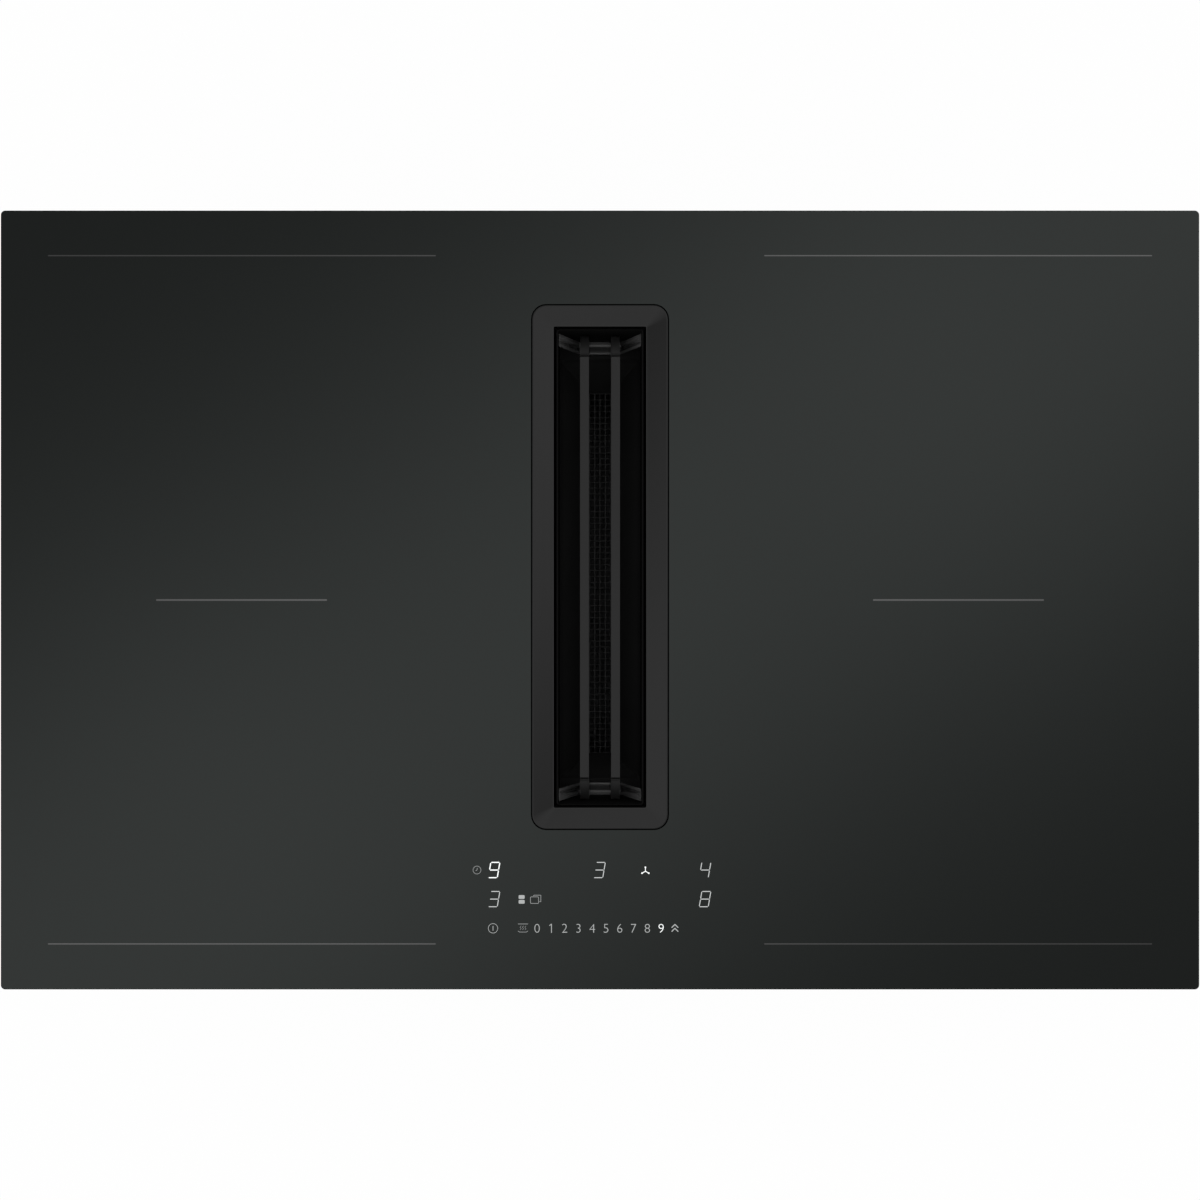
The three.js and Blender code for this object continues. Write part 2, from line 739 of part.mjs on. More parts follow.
/** One induction coil, a flat winding with an open middle. */
function inductionCoil(side, end) {
  return turned(side * zone.x, end * zone.y, [
    [COIL.boreRadius, coilPlateTop],
    [coilRadius, coilPlateTop],
    [coilRadius, coilPlateTop + COIL.height],
    [COIL.boreRadius, coilPlateTop + COIL.height],
    [COIL.boreRadius, coilPlateTop],
  ]);
}

/** The insulating sheet over the coils of one side. */
function micaSheet(side) {
  const z = coilPlateTop + COIL.height;
  const width = 2 * (coilRadius + MICA.sideOverlap);
  return block(side * zone.x, 0, width, coilPlateDepth - 2 * MICA.endInset, z, z + MICA.thickness);
}

/** The power board of one side, on its four stand-offs. */
function powerBoard(side) {
  const x = side * zone.x;
  const bottom = casingFloor + BOARD.standoff;
  const middle = bottom + BOARD.thickness / 2;
  const top = bottom + BOARD.thickness;
  const posts = [-1, 1].flatMap((u) =>
    [-1, 1].map((v) =>
      post(
        x + u * (boardWidth / 2 - BOARD.standoffInset),
        BOARD.y + v * (BOARD.depth / 2 - BOARD.standoffInset),
        BOARD.standoffRadius,
        casingFloor,
        middle,
        8,
      ),
    ),
  );
  const { radius, height, spacing } = CAPACITOR;
  const capacitors = [-1, 0, 1].map((place) =>
    post(x - boardWidth / 4, BOARD.y + place * spacing, radius, middle, top + height, 12),
  );
  return join([block(x, BOARD.y, boardWidth, BOARD.depth, bottom, top), ...posts, ...capacitors]);
}

/** The finned heatsink on one power board. */
function heatsink(side) {
  const x = side * zone.x + HEATSINK.shift;
  const bottom = casingFloor + BOARD.standoff + BOARD.thickness;
  const step = (HEATSINK.width - HEATSINK.fin) / (HEATSINK.fins - 1);
  const outline = [
    [x + HEATSINK.width / 2, bottom],
    [x - HEATSINK.width / 2, bottom],
  ];
  for (let fin = 0; fin < HEATSINK.fins; fin += 1) {
    const left = x - HEATSINK.width / 2 + fin * step;
    if (fin > 0) {
      outline.push([left, bottom + HEATSINK.base]);
    }
    outline.push([left, bottom + HEATSINK.height]);
    outline.push([left + HEATSINK.fin, bottom + HEATSINK.height]);
    if (fin < HEATSINK.fins - 1) {
      outline.push([left + HEATSINK.fin, bottom + HEATSINK.base]);
    }
  }
  return frontProfile(outline, BOARD.y - HEATSINK.depth / 2, BOARD.y + HEATSINK.depth / 2);
}

/** The frame of one cooling fan, with the arms that carry its bearing post. */
function coolingFanFrame(side) {
  const [x, y] = [side * zone.x, coolingFanY];
  const { height, floor, boreRadius, arm, hubRadius, hubHeight, postRadius, postDrop } = COOLING_FAN;
  const top = casingFloor + height;
  const armTop = casingFloor + floor;
  const ring = cut(block(x, y, COOLING_FAN.side, COOLING_FAN.side, casingFloor, top), [
    post(x, y, boreRadius, casingFloor - OVERRUN, top + OVERRUN, 32),
  ]);
  const arms = [30, 150, 270].map((angle) => {
    const bar = boxGeometry(x, x + boreRadius + OVERRUN, y - arm / 2, y + arm / 2, casingFloor, armTop);
    return turnedAbout(bar, x, y, angle);
  });
  const base = post(x, y, hubRadius, casingFloor, armTop);
  const bearing = post(x, y, postRadius, casingFloor, armTop + hubHeight - postDrop, 16);
  return join([ring, ...arms, base, bearing]);
}

/** The rotor of one cooling fan. */
function coolingFanRotor(side) {
  const [x, y] = [side * zone.x, coolingFanY];
  const { hubRadius, hubHeight, hubCap, bladeRadius, tipInset } = COOLING_FAN;
  const bottom = casingFloor + COOLING_FAN.floor + 2 * GAP;
  const top = bottom + hubHeight;
  const hub = post(x, y, hubRadius, bottom, top, 32);
  const reach = bladeRadius - hubRadius + OVERRUN;
  const blades = [];
  for (let blade = 0; blade < COOLING_FAN.blades; blade += 1) {
    const geometry = new THREE.BoxGeometry(reach, COOLING_FAN.blade, hubHeight);
    geometry.rotateX((COOLING_FAN.bladePitch * Math.PI) / 180);
    geometry.translate(x + bladeRadius - reach / 2 - tipInset, y, (bottom + top) / 2);
    blades.push(turnedAbout(geometry, x, y, (360 * blade) / COOLING_FAN.blades));
  }
  const bore = post(x, y, COOLING_FAN.postRadius + 1.5 * GAP, bottom - OVERRUN, top - hubCap, 16);
  return cut(join([hub, ...blades]), [bore]);
}

/** The open plastic box that lifts the control board to the glass. */
function controlCarrier() {
  const { x, width, depth, wall } = CONTROL;
  const top = controlBoardBottom + OVERRUN;
  return cut(block(x, controlY, width, depth, casingFloor, controlBoardBottom), [
    block(x, controlY, width - 2 * wall, depth - 2 * wall, casingFloor + wall, top),
  ]);
}

/** The touch and display board. */
function controlBoard() {
  const top = controlBoardBottom + CONTROL.boardThickness;
  return block(CONTROL.x, controlY, CONTROL.width, CONTROL.depth, controlBoardBottom, top);
}

/** The light guide between the control board and the glass, with its rows of light shafts. */
function lightGuide() {
  const { margin, edge, rows, rowDepth } = LIGHT_GUIDE;
  const bottom = controlBoardBottom + CONTROL.boardThickness;
  const width = CONTROL.width - 2 * margin;
  const depth = CONTROL.depth - 2 * margin;
  const shafts = [];
  for (let row = 0; row < rows; row += 1) {
    const y = controlY + ((row - (rows - 1) / 2) * depth) / rows;
    shafts.push(block(CONTROL.x, y, width - 2 * edge, rowDepth, bottom - OVERRUN, glassBottom + OVERRUN));
  }
  return cut(block(CONTROL.x, controlY, width, depth, bottom, glassBottom - GAP), shafts);
}

// ---------------------------------------------------------------- blower and outlet below

/** The plastic housing under the casing tray, whose flat bottom the cooktop stands on. */
function lowerHousing() {
  const width = HOUSING.right - HOUSING.left;
  const depth = HOUSING.back - HOUSING.front;
  const x = (HOUSING.right + HOUSING.left) / 2;
  const y = (HOUSING.back + HOUSING.front) / 2;
  const { wall, corner, flange } = HOUSING;
  const body = roundedBlock(x, y, width, depth, corner, 0, casingBottom);
  const rim = roundedBlock(
    x,
    y,
    width + 2 * flange,
    depth + 2 * flange,
    corner,
    casingBottom - wall,
    casingBottom,
  );
  const inside = roundedBlock(
    x,
    y,
    width - 2 * wall,
    depth - 2 * wall,
    corner - wall,
    wall,
    casingBottom + OVERRUN,
  );
  const ductHole = box(
    ductX - DUCT.width / 2 - GAP,
    ductX + DUCT.width / 2 + GAP,
    HOUSING.back - corner - wall,
    HOUSING.back + wall,
    ductZ - DUCT.height / 2 - GAP,
    ductZ + DUCT.height / 2 + GAP,
  );
  const holes = housingScrewPlaces().map(([sx, sy]) =>
    post(sx, sy, SCREW.hole, casingBottom - 2 * wall, casingBottom + OVERRUN, 12),
  );
  return cut(join([body, rim]), [inside, ductHole, ...holes]);
}

/** The spiral of the scroll, set in by a distance, between two heights. */
function spiralSlab(inset, z0, z1) {
  const points = [];
  const step = SCROLL.stepAngle;
  for (let angle = SCROLL.startAngle; angle < 360 + step / 2; angle += step) {
    const turn = Math.min(angle, 360);
    const share = (turn - SCROLL.startAngle) / (360 - SCROLL.startAngle);
    const radius = SCROLL.startRadius + share * (SCROLL.endRadius - SCROLL.startRadius) - inset;
    const radians = (turn * Math.PI) / 180;
    points.push(
      new THREE.Vector2(SCROLL.x + radius * Math.cos(radians), SCROLL.y + radius * Math.sin(radians)),
    );
  }
  return slab(new THREE.Shape(points), z0, z1);
}

/** The outer block of the scroll between two heights: the spiral and its outlet. */
function scrollBody(z0, z1) {
  const outlet = box(
    ductX - DUCT.width / 2,
    ductX + DUCT.width / 2,
    SCROLL.y,
    SCROLL.outletY,
    z0,
    z1,
  );
  return join([spiralSlab(0, z0, z1), outlet]);
}

/** The scroll: its spiral wall, its roof with bosses up to the casing tray, and its outlet. */
function scrollHousing() {
  const { bossInset, outletY } = SCROLL;
  const bottom = scrollBottom + INLET.plate;
  const roof = scrollTop - SCROLL.roof;
  const tongueAngle = ((SCROLL.startAngle - SCROLL.tongueTurn) * Math.PI) / 180;
  const tongueRadius = SCROLL.startRadius - SCROLL.wall;
  const left = ductX - DUCT.width / 2 + SCROLL.wall;
  const right = ductX + DUCT.width / 2 - SCROLL.wall;
  const channel = new THREE.Shape([
    new THREE.Vector2(SCROLL.x, SCROLL.y),
    new THREE.Vector2(right, SCROLL.y),
    new THREE.Vector2(right, outletY + OVERRUN),
    new THREE.Vector2(left, outletY + OVERRUN),
    new THREE.Vector2(left, outletY - SCROLL.tongueBack),
    new THREE.Vector2(
      SCROLL.x + tongueRadius * Math.cos(tongueAngle),
      SCROLL.y + tongueRadius * Math.sin(tongueAngle),
    ),
  ]);
  const bosses = [
    [SCROLL.x - SCROLL.startRadius + bossInset, SCROLL.y],
    [SCROLL.x, SCROLL.y - SCROLL.startRadius],
    [right - bossInset, outletY - bossInset],
    [left + bossInset, outletY - bossInset],
  ].map(([x, y]) => post(x, y, SCROLL.bossRadius, roof, casingBottom, 12));
  return cut(join([scrollBody(bottom, scrollTop), ...bosses]), [
    spiralSlab(SCROLL.wall, bottom - OVERRUN, roof),
    slab(channel, bottom - OVERRUN, roof),
  ]);
}

/** The plate that closes the scroll from below, with the lipped mouth of the impeller. */
function inletPlate() {
  const top = scrollBottom + INLET.plate;
  const lipRadius = INLET.radius + INLET.lip;
  const lipTop = top + INLET.lipHeight;
  const lip = post(SCROLL.x, SCROLL.y, lipRadius, scrollBottom, lipTop, 32);
  const mouth = post(SCROLL.x, SCROLL.y, INLET.radius, scrollBottom - OVERRUN, lipTop + OVERRUN, 32);
  return cut(join([scrollBody(scrollBottom, top), lip]), [mouth]);
}

/** The blower motor, hung from the scroll's roof, with the bore of its shaft. */
function motorBody() {
  const boreRadius = MOTOR.shaftRadius + MOTOR.boreGap;
  const boreTop = motorBottom + MOTOR.shaftReach + OVERRUN;
  const bore = post(SCROLL.x, SCROLL.y, boreRadius, motorBottom - OVERRUN, boreTop);
  return cut(post(SCROLL.x, SCROLL.y, MOTOR.radius, motorBottom, motorTop, 32), [bore]);
}

/** The shaft between the motor and the impeller's hub. */
function motorShaft() {
  return post(SCROLL.x, SCROLL.y, MOTOR.shaftRadius, hubTop, motorBottom + MOTOR.shaftReach, 24);
}

/** The drum impeller: a back plate with a cup round the motor, forward-curved blades and a front ring. */
function impeller() {
  const { radius, plate, cupRadius, cupSlope, boss, ringInner } = IMPELLER;
  const rimTop = motorTop - IMPELLER.roofGap;
  const rimBottom = rimTop - plate;
  const drumBottom = scrollBottom + INLET.plate + IMPELLER.inletGap;
  const disc = turned(SCROLL.x, SCROLL.y, [
    [0, hubTop - plate - boss],
    [MOTOR.bossRadius, hubTop - plate - boss],
    [MOTOR.bossRadius, hubTop - plate],
    [cupRadius - cupSlope, hubTop - plate],
    [cupRadius, rimBottom],
    [radius, rimBottom],
    [radius, rimTop],
    [cupRadius - plate, rimTop],
    [cupRadius - cupSlope - plate, hubTop],
    [0, hubTop],
  ]);
  const ring = turned(SCROLL.x, SCROLL.y, [
    [ringInner, drumBottom],
    [radius, drumBottom],
    [radius, drumBottom + plate],
    [ringInner, drumBottom + plate],
    [ringInner, drumBottom],
  ]);
  const blades = [];
  const middle = (radius + ringInner) / 2 - IMPELLER.bladeInset;
  for (let blade = 0; blade < IMPELLER.blades; blade += 1) {
    const geometry = new THREE.BoxGeometry(IMPELLER.chord, IMPELLER.blade, rimTop - drumBottom - plate);
    geometry.rotateZ((IMPELLER.bladeAngle * Math.PI) / 180);
    geometry.translate(SCROLL.x + middle, SCROLL.y, (drumBottom + rimTop) / 2);
    blades.push(turnedAbout(geometry, SCROLL.x, SCROLL.y, (360 * blade) / IMPELLER.blades));
  }
  return join([disc, ring, ...blades]);
}

/** The spigot that a flat duct slides over, with a flange on the housing and a sill for the flaps. */
function outletSpigot() {
  const start = SCROLL.outletY + GAP;
  const { width, height, wall, end, flangeX, flangeZ, flange } = DUCT;
  const tube = block(ductX, (start + end) / 2, width, end - start, ductZ - height / 2, ductZ + height / 2);
  const plate = block(
    ductX,
    HOUSING.back + flange / 2,
    width + 2 * flangeX,
    flange,
    ductZ - height / 2 - flangeZ,
    ductZ + height / 2 + flangeZ,
  );
  const inside = block(
    ductX,
    (start + end) / 2,
    width - 2 * wall,
    end - start + 2 * OVERRUN,
    ductZ - height / 2 + wall,
    ductZ + height / 2 - wall,
  );
  const sillBack = FLAP.hingeY - FLAP.thickness / 2 - GAP;
  const sillBottom = ductZ - height / 2 + wall / 2;
  const sill = box(
    ductX - width / 2 + wall / 2,
    ductX + width / 2 - wall / 2,
    start,
    sillBack,
    sillBottom,
    sillBottom + wall / 2 + FLAP.sill,
  );
  return join([cut(join([tube, plate]), [inside]), sill]);
}

/** One non-return flap, hung from the pin at its top edge. */
function damperFlap(side) {
  const halfWidth = DUCT.width / 2 - DUCT.wall - FLAP.side;
  const near = ductX + (side * FLAP.split) / 2;
  const far = ductX + side * halfWidth;
  const [x0, x1] = [Math.min(near, far), Math.max(near, far)];
  const bottom = ductZ - DUCT.height / 2 + DUCT.wall + FLAP.bottomGap;
  const leaf = box(
    x0,
    x1,
    FLAP.hingeY - FLAP.thickness / 2,
    FLAP.hingeY + FLAP.thickness / 2,
    bottom,
    flapPinZ,
  );
  const barrel = pinAlongX(x0, x1, FLAP.hingeY, flapPinZ, FLAP.barrelRadius, 24);
  const boreRadius = FLAP.pinRadius + FLAP.pinGap;
  const bore = pinAlongX(x0 - OVERRUN, x1 + OVERRUN, FLAP.hingeY, flapPinZ, boreRadius, 24);
  return cut(join([leaf, barrel]), [bore]);
}

/** The pin that both flaps hang from. */
function damperPin() {
  const half = DUCT.width / 2 - DUCT.wall - GAP;
  return pinAlongX(ductX - half, ductX + half, FLAP.hingeY, flapPinZ, FLAP.pinRadius, 24);
}

// ---------------------------------------------------------------- mains terminals

/** The open terminal box under the casing tray, with the hole for the cable gland. */
function terminalBox() {
  const { width, depth, height, wall } = TERMINAL;
  const bottom = casingBottom - height;
  const hole = new THREE.CylinderGeometry(GLAND.radius + GAP, GLAND.radius + GAP, 4 * wall, 24);
  hole.translate(terminalX, terminalY + depth / 2, casingBottom - height / 2);
  const inside = block(
    terminalX,
    terminalY,
    width - 2 * wall,
    depth - 2 * wall,
    bottom - OVERRUN,
    casingBottom - wall,
  );
  return cut(block(terminalX, terminalY, width, depth, bottom, casingBottom), [inside, solidOf(hole)]);
}

/** The block with a row of clamps for the mains leads. */
function terminalBlock() {
  const { width, depth, height, poles, rib, well } = TERMINAL_BLOCK;
  const top = casingBottom - TERMINAL.wall;
  const bottom = top - height;
  const step = width / poles;
  const wells = [];
  for (let pole = 0; pole < poles; pole += 1) {
    const x = terminalX + (pole - (poles - 1) / 2) * step;
    wells.push(block(x, terminalY, step - rib, depth / 2, bottom - OVERRUN, bottom + well));
  }
  return cut(block(terminalX, terminalY, width, depth, bottom, top), wells);
}

/** The cover that closes the terminal box from below. */
function terminalCover() {
  const { width, depth, height, cover, corner } = TERMINAL;
  const top = casingBottom - height;
  return roundedBlock(terminalX, terminalY, width, depth, corner, top - cover, top);
}

/** The gland that grips the mains cable where it enters. */
function cableGland() {
  const { radius, nutRadius, bore, nut, length, neck, taper } = GLAND;
  const profile = [
    [bore, -2 * TERMINAL.wall],
    [radius, -2 * TERMINAL.wall],
    [radius, GAP],
    [nutRadius, GAP],
    [nutRadius, GAP + nut],
    [radius - neck, GAP + nut],
    [radius - taper, length],
    [bore, length],
    [bore, -2 * TERMINAL.wall],
  ].map(([r, along]) => new THREE.Vector2(r, along));
  const geometry = new THREE.LatheGeometry(profile, 18);
  geometry.translate(terminalX, terminalY + TERMINAL.depth / 2, casingBottom - TERMINAL.height / 2);
  return solidOf(geometry);
}

// ---------------------------------------------------------------- clamps and screws

/** One spring clamp on the side of the casing tray, which grips the edge of the cut-out. */
function clampBracket(side, end) {
  const wallX = casingOuter.width / 2 + GAP;
  const top = glassBottom - CLAMP.top;
  const low = top - CLAMP.plate;
  const { sheet, leaf, reach, width } = CLAMP;
  const outline = [
    [wallX, top],
    [wallX, low],
    [wallX + reach, low - leaf],
    [wallX + reach + sheet, low - leaf + sheet / 2],
    [wallX + sheet, low + sheet / 2],
    [wallX + sheet, top],
  ].map(([along, z]) => [side * along, z]);
  const ordered = side > 0 ? outline : outline.reverse();
  const y = end * clampY;
  const x = side * wallX;
  const hole = pinAlongX(x - SCREW.reach, x + SCREW.reach, y, clampScrewZ, SCREW.hole, 12);
  return cut(frontProfile(ordered, y - width / 2, y + width / 2), [hole]);
}

/** The profile of a pan-head screw as [radius, distance from the seat] points. */
function screwProfile() {
  const { headRadius, crownRadius, headSide, head, shankRadius, reach } = SCREW;
  return [
    [0, -reach],
    [shankRadius, -reach],
    [shankRadius, 0],
    [headRadius, 0],
    [headRadius, headSide],
    [crownRadius, head],
    [0, head],
  ];
}

/** The screw of one clamp, from the side. */
function clampScrew(side, end) {
  const points = screwProfile().map(([radius, along]) => new THREE.Vector2(radius, along));
  const geometry = new THREE.LatheGeometry(points, 12);
  geometry.rotateZ((-side * Math.PI) / 2);
  const seat = casingOuter.width / 2 + GAP + CLAMP.sheet + SCREW.seat;
  geometry.translate(side * seat, end * clampY, clampScrewZ);
  return solidOf(geometry);
}

/** One screw of the lower housing, from below. */
function housingScrew(x, y) {
  const points = screwProfile().map(([radius, along]) => new THREE.Vector2(radius, along));
  const geometry = new THREE.LatheGeometry(points, 12);
  geometry.rotateX(-Math.PI / 2);
  geometry.translate(x, y, casingBottom - HOUSING.wall - SCREW.seat);
  return solidOf(geometry);
}

// ---------------------------------------------------------------- the assembly

const sides = [
  { name: "left", side: -1 },
  { name: "right", side: 1 },
];
const ends = [
  { name: "front", end: -1 },
  { name: "rear", end: 1 },
];

addNode("glass_top", glassTop(), "blackGlass");
addNode("rim_seal", rimSeal(), "seal");
addNode("intake_ring", intakeRing(), "blackEnamel");
addNode("ring_seal", ringSeal(), "seal");
addNode("intake_shaft", intakeShaft(), "blackPlastic");
addNode("cassette_shell", cassetteShell(), "blackPlastic");
addNode("filter_mesh", filterMesh(), "wire");
addNode("drip_tray", dripTrayBox(), "blackPlastic");
addNode("casing_tray", casingTray(), "zincSteel");
addNode("control_carrier", controlCarrier(), "whitePlastic");
addNode("control_board", controlBoard(), "boardGreen");
addNode("light_guide", lightGuide(), "blackPlastic");
addNode("lower_housing", lowerHousing(), "blackPlastic");
addNode("scroll_housing", scrollHousing(), "blackPlastic");
addNode("inlet_plate", inletPlate(), "blackPlastic");
addNode("motor_body", motorBody(), "zincSteel");
addNode("motor_shaft", motorShaft(), "zincSteel");
addNode("impeller", impeller(), "blackPlastic");
addNode("outlet_spigot", outletSpigot(), "blackPlastic");
addNode("damper_pin", damperPin(), "zincSteel");
addNode("terminal_box", terminalBox(), "blackPlastic");
addNode("terminal_block", terminalBlock(), "whitePlastic");
addNode("terminal_cover", terminalCover(), "blackPlastic");
addNode("cable_gland", cableGland(), "blackPlastic");

for (const { name, side } of sides) {
  addNode(`grille_bar_${name}`, grilleBar(side), "blackEnamel");
  addNode(`coil_plate_${name}`, coilPlate(side), "aluminium");
  addNode(`mica_sheet_${name}`, micaSheet(side), "mica");
  addNode(`power_board_${name}`, powerBoard(side), "boardGreen");
  addNode(`heatsink_${name}`, heatsink(side), "aluminium");
  addNode(`cooling_fan_frame_${name}`, coolingFanFrame(side), "blackPlastic");
  addNode(`cooling_fan_rotor_${name}`, coolingFanRotor(side), "blackPlastic");
  addNode(`damper_flap_${name}`, damperFlap(side), "blackPlastic");
  for (const { name: endName, end } of ends) {
    addNode(`coil_${endName}_${name}`, inductionCoil(side, end), "copper");
    addNode(`clamp_${endName}_${name}`, clampBracket(side, end), "zincSteel");
    addNode(`clamp_screw_${endName}_${name}`, clampScrew(side, end), "zincSteel");
  }
}
for (const { name, end } of ends) {
  addNode(`grille_saddle_${name}`, grilleSaddle(end), "blackEnamel");
}
housingScrewPlaces().forEach(([x, y], index) => {
  addNode(`housing_screw_${index + 1}`, housingScrew(x, y), "zincSteel");
});

export default cooktop;
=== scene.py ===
"""Looks for a downdraft induction cooktop, which is seen from straight above in a soft white studio.

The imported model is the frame. The pieces that show get modelled again in more detail in the places that the
frame gives, and every piece gets a finish made of shader nodes. Lengths are in metres, angles in degrees.
"""

import json
import logging
import math
from collections.abc import Callable, Iterable, Sequence
from dataclasses import dataclass, replace
from enum import Enum
from typing import Any

import bmesh
import bpy
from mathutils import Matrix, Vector

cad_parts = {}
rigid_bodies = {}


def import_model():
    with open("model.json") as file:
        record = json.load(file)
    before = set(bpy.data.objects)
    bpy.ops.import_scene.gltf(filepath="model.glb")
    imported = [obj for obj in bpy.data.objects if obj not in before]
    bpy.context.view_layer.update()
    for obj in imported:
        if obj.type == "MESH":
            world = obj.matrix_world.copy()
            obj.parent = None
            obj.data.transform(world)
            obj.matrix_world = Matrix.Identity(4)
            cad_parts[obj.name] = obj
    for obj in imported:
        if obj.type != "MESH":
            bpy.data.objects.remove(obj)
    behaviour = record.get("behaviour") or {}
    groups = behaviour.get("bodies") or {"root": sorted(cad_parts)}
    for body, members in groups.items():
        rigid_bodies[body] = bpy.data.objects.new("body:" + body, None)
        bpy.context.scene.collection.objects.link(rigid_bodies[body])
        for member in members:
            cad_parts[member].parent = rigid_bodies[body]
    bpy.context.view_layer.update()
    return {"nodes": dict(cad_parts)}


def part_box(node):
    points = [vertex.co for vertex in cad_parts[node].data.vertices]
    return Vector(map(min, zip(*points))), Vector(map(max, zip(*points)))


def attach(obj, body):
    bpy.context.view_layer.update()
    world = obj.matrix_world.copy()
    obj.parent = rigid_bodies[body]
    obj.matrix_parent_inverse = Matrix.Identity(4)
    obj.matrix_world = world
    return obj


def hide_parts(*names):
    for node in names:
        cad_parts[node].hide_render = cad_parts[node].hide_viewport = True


LOG = logging.getLogger("cooktop")
# Points nearer to each other than MERGE are one. MARK names the attribute that numbers the outlines of a
# loft, which stand STAGE apart while they are joined. TENTH is a tenth of a millimetre.
MERGE = 1e-6
MARK = "mark"
STAGE = 0.5
TENTH = 0.0001
RAYS = ("Is Camera Ray", "Is Glossy Ray", "Is Transmission Ray")
Test = Callable[[Vector, Vector], bool]
Point = tuple[float, float, float]
Spot = tuple[float, float]
Tint = tuple[float, float, float, float]


# ---------------------------------------------------------------- shader nodes


class Value:
    """A socket of a shader node, on which Python's operators add Math nodes."""

    def __init__(self, shader: "Shader", socket: bpy.types.NodeSocket) -> None:
        """Keeps the socket and the shader that it belongs to."""
        self.shader = shader
        self.socket = socket

    def __add__(self, other: Any) -> "Value":
        """Adds."""
        return self.shader.math("ADD", self, other)

    def __sub__(self, other: Any) -> "Value":
        """Subtracts."""
        return self.shader.math("SUBTRACT", self, other)

    def __rsub__(self, other: Any) -> "Value":
        """Subtracts from a plain number."""
        return self.shader.math("SUBTRACT", other, self)

    def __mul__(self, other: Any) -> "Value":
        """Multiplies."""
        return self.shader.math("MULTIPLY", self, other)

    def __truediv__(self, other: Any) -> "Value":
        """Divides."""
        return self.shader.math("DIVIDE", self, other)

    def __pow__(self, other: Any) -> "Value":
        """Raises to a power."""
        return self.shader.math("POWER", self, other)

    def __abs__(self) -> "Value":
        """Drops the sign."""
        return self.shader.math("ABSOLUTE", self)


class Shader:
    """A node tree that a finish or the studio fills."""

    def __init__(self, tree: bpy.types.NodeTree) -> None:
        """Starts with an empty tree."""
        self.tree = tree
        tree.nodes.clear()

    def add(
        self,
        kind: str,
        settings: dict[str, Any] | None = None,
        sockets: dict[Any, Any] | None = None,
        output: int | str = 0,
    ) -> Value:
        """Adds a node.

        Args:
            kind: The node's type.
            settings: The node's own settings.
            sockets: Values or links for its inputs, by name or number.
            output: The output that is wanted.

        Returns:
            The wanted output.
        """
        node = self.tree.nodes.new(kind)
        for name, setting in (settings or {}).items():
            setattr(node, name, setting)
        for name, given in (sockets or {}).items():
            if isinstance(given, Value):
                self.tree.links.new(given.socket, node.inputs[name])
            else:
                node.inputs[name].default_value = given
        return Value(self, node.outputs[output])

    def math(self, operation: str, *operands: Any) -> Value:
        """Adds a Math node."""
        return self.add("ShaderNodeMath", {"operation": operation}, dict(enumerate(operands)))

    def several(self, kind: str, names: Sequence[str], sockets: dict[Any, Any] | None = None) -> list[Value]:
        """Adds a node, and gives several of its outputs."""
        outputs = self.add(kind, {}, sockets).socket.node.outputs
        return [Value(self, outputs[name]) for name in names]

    def place(self, stretch: Point = (1.0, 1.0, 1.0)) -> Value:
        """Gives the piece's own coordinates, scaled along each axis."""
        here = self.add("ShaderNodeTexCoord", output="Object")
        return self.add("ShaderNodeMapping", {}, {"Vector": here, "Scale": stretch})

    def axis(self, name: str) -> Value:
        """Gives one of the piece's own coordinates."""
        return self.add("ShaderNodeSeparateXYZ", {}, {0: self.place()}, name)

    def noise(self, scale: float, detail: float = 2.0, stretch: Point = (1.0, 1.0, 1.0)) -> Value:
        """Gives soft noise from 0 to 1, with about scale cells a metre."""
        sockets = {"Vector": self.place(stretch), "Scale": scale, "Detail": detail, "Roughness": 0.55}
        return self.add("ShaderNodeTexNoise", {}, sockets, "Fac")

    def cells(self, scale: float) -> Value:
        """Gives the distance to the middle of the nearest cell."""
        return self.add("ShaderNodeTexVoronoi", {}, {"Vector": self.place(), "Scale": scale}, "Distance")

    def patches(self, scale: float, stretch: Point = (1.0, 1.0, 1.0)) -> Value:
        """Gives each cell one level of its own, from 0 to 1."""
        sockets = {"Vector": self.place(stretch), "Scale": scale}
        colours = self.add("ShaderNodeTexVoronoi", {}, sockets, "Color")
        return self.add("ShaderNodeSeparateColor", {}, {0: colours})

    def mix(self, share: Value | float, first: Any, second: Any) -> Value:
        """Mixes two colours."""
        return self.add("ShaderNodeMix", {"data_type": "RGBA"}, {0: share, 6: first, 7: second}, 2)

    def span(self, value: Value, low: float, high: float, start: float = 0.0, end: float = 1.0) -> Value:
        """Maps a value from the span start to end onto low to high, and keeps it within those."""
        sockets = {"Value": value, 1: start, 2: end, 3: low, 4: high}
        return self.add("ShaderNodeMapRange", {"clamp": True}, sockets)

    def bump(self, height: Value, depth: float) -> Value:
        """Turns a height from 0 to 1 into a normal, for a relief of the given depth."""
        return self.add("ShaderNodeBump", {}, {"Height": height, "Distance": depth, "Strength": 1.0})

    def surface(self, sockets: dict[str, Any]) -> None:
        """Adds the principled surface with these sockets, and shows it."""
        shown = self.add("ShaderNodeBsdfPrincipled", {}, sockets)
        self.show(shown, "ShaderNodeOutputMaterial")

    def show(self, shown: Value, kind: str) -> None:
        """Links a shader to the tree's output."""
        node = self.tree.nodes.new(kind)
        self.tree.links.new(shown.socket, node.inputs["Surface"])


def grey(level: float) -> Tint:
    """Gives a grey of one level."""
    return (level, level, level, 1.0)


def scaled(tint: Tint, factor: float, more: float = 0.0) -> Tint:
    """Gives a tint that is darker or paler by a factor, with a little more of each part."""
    red, green, blue, alpha = tint
    return (red * factor + more, green * factor + more, blue * factor + more, alpha)


# ---------------------------------------------------------------- finishes


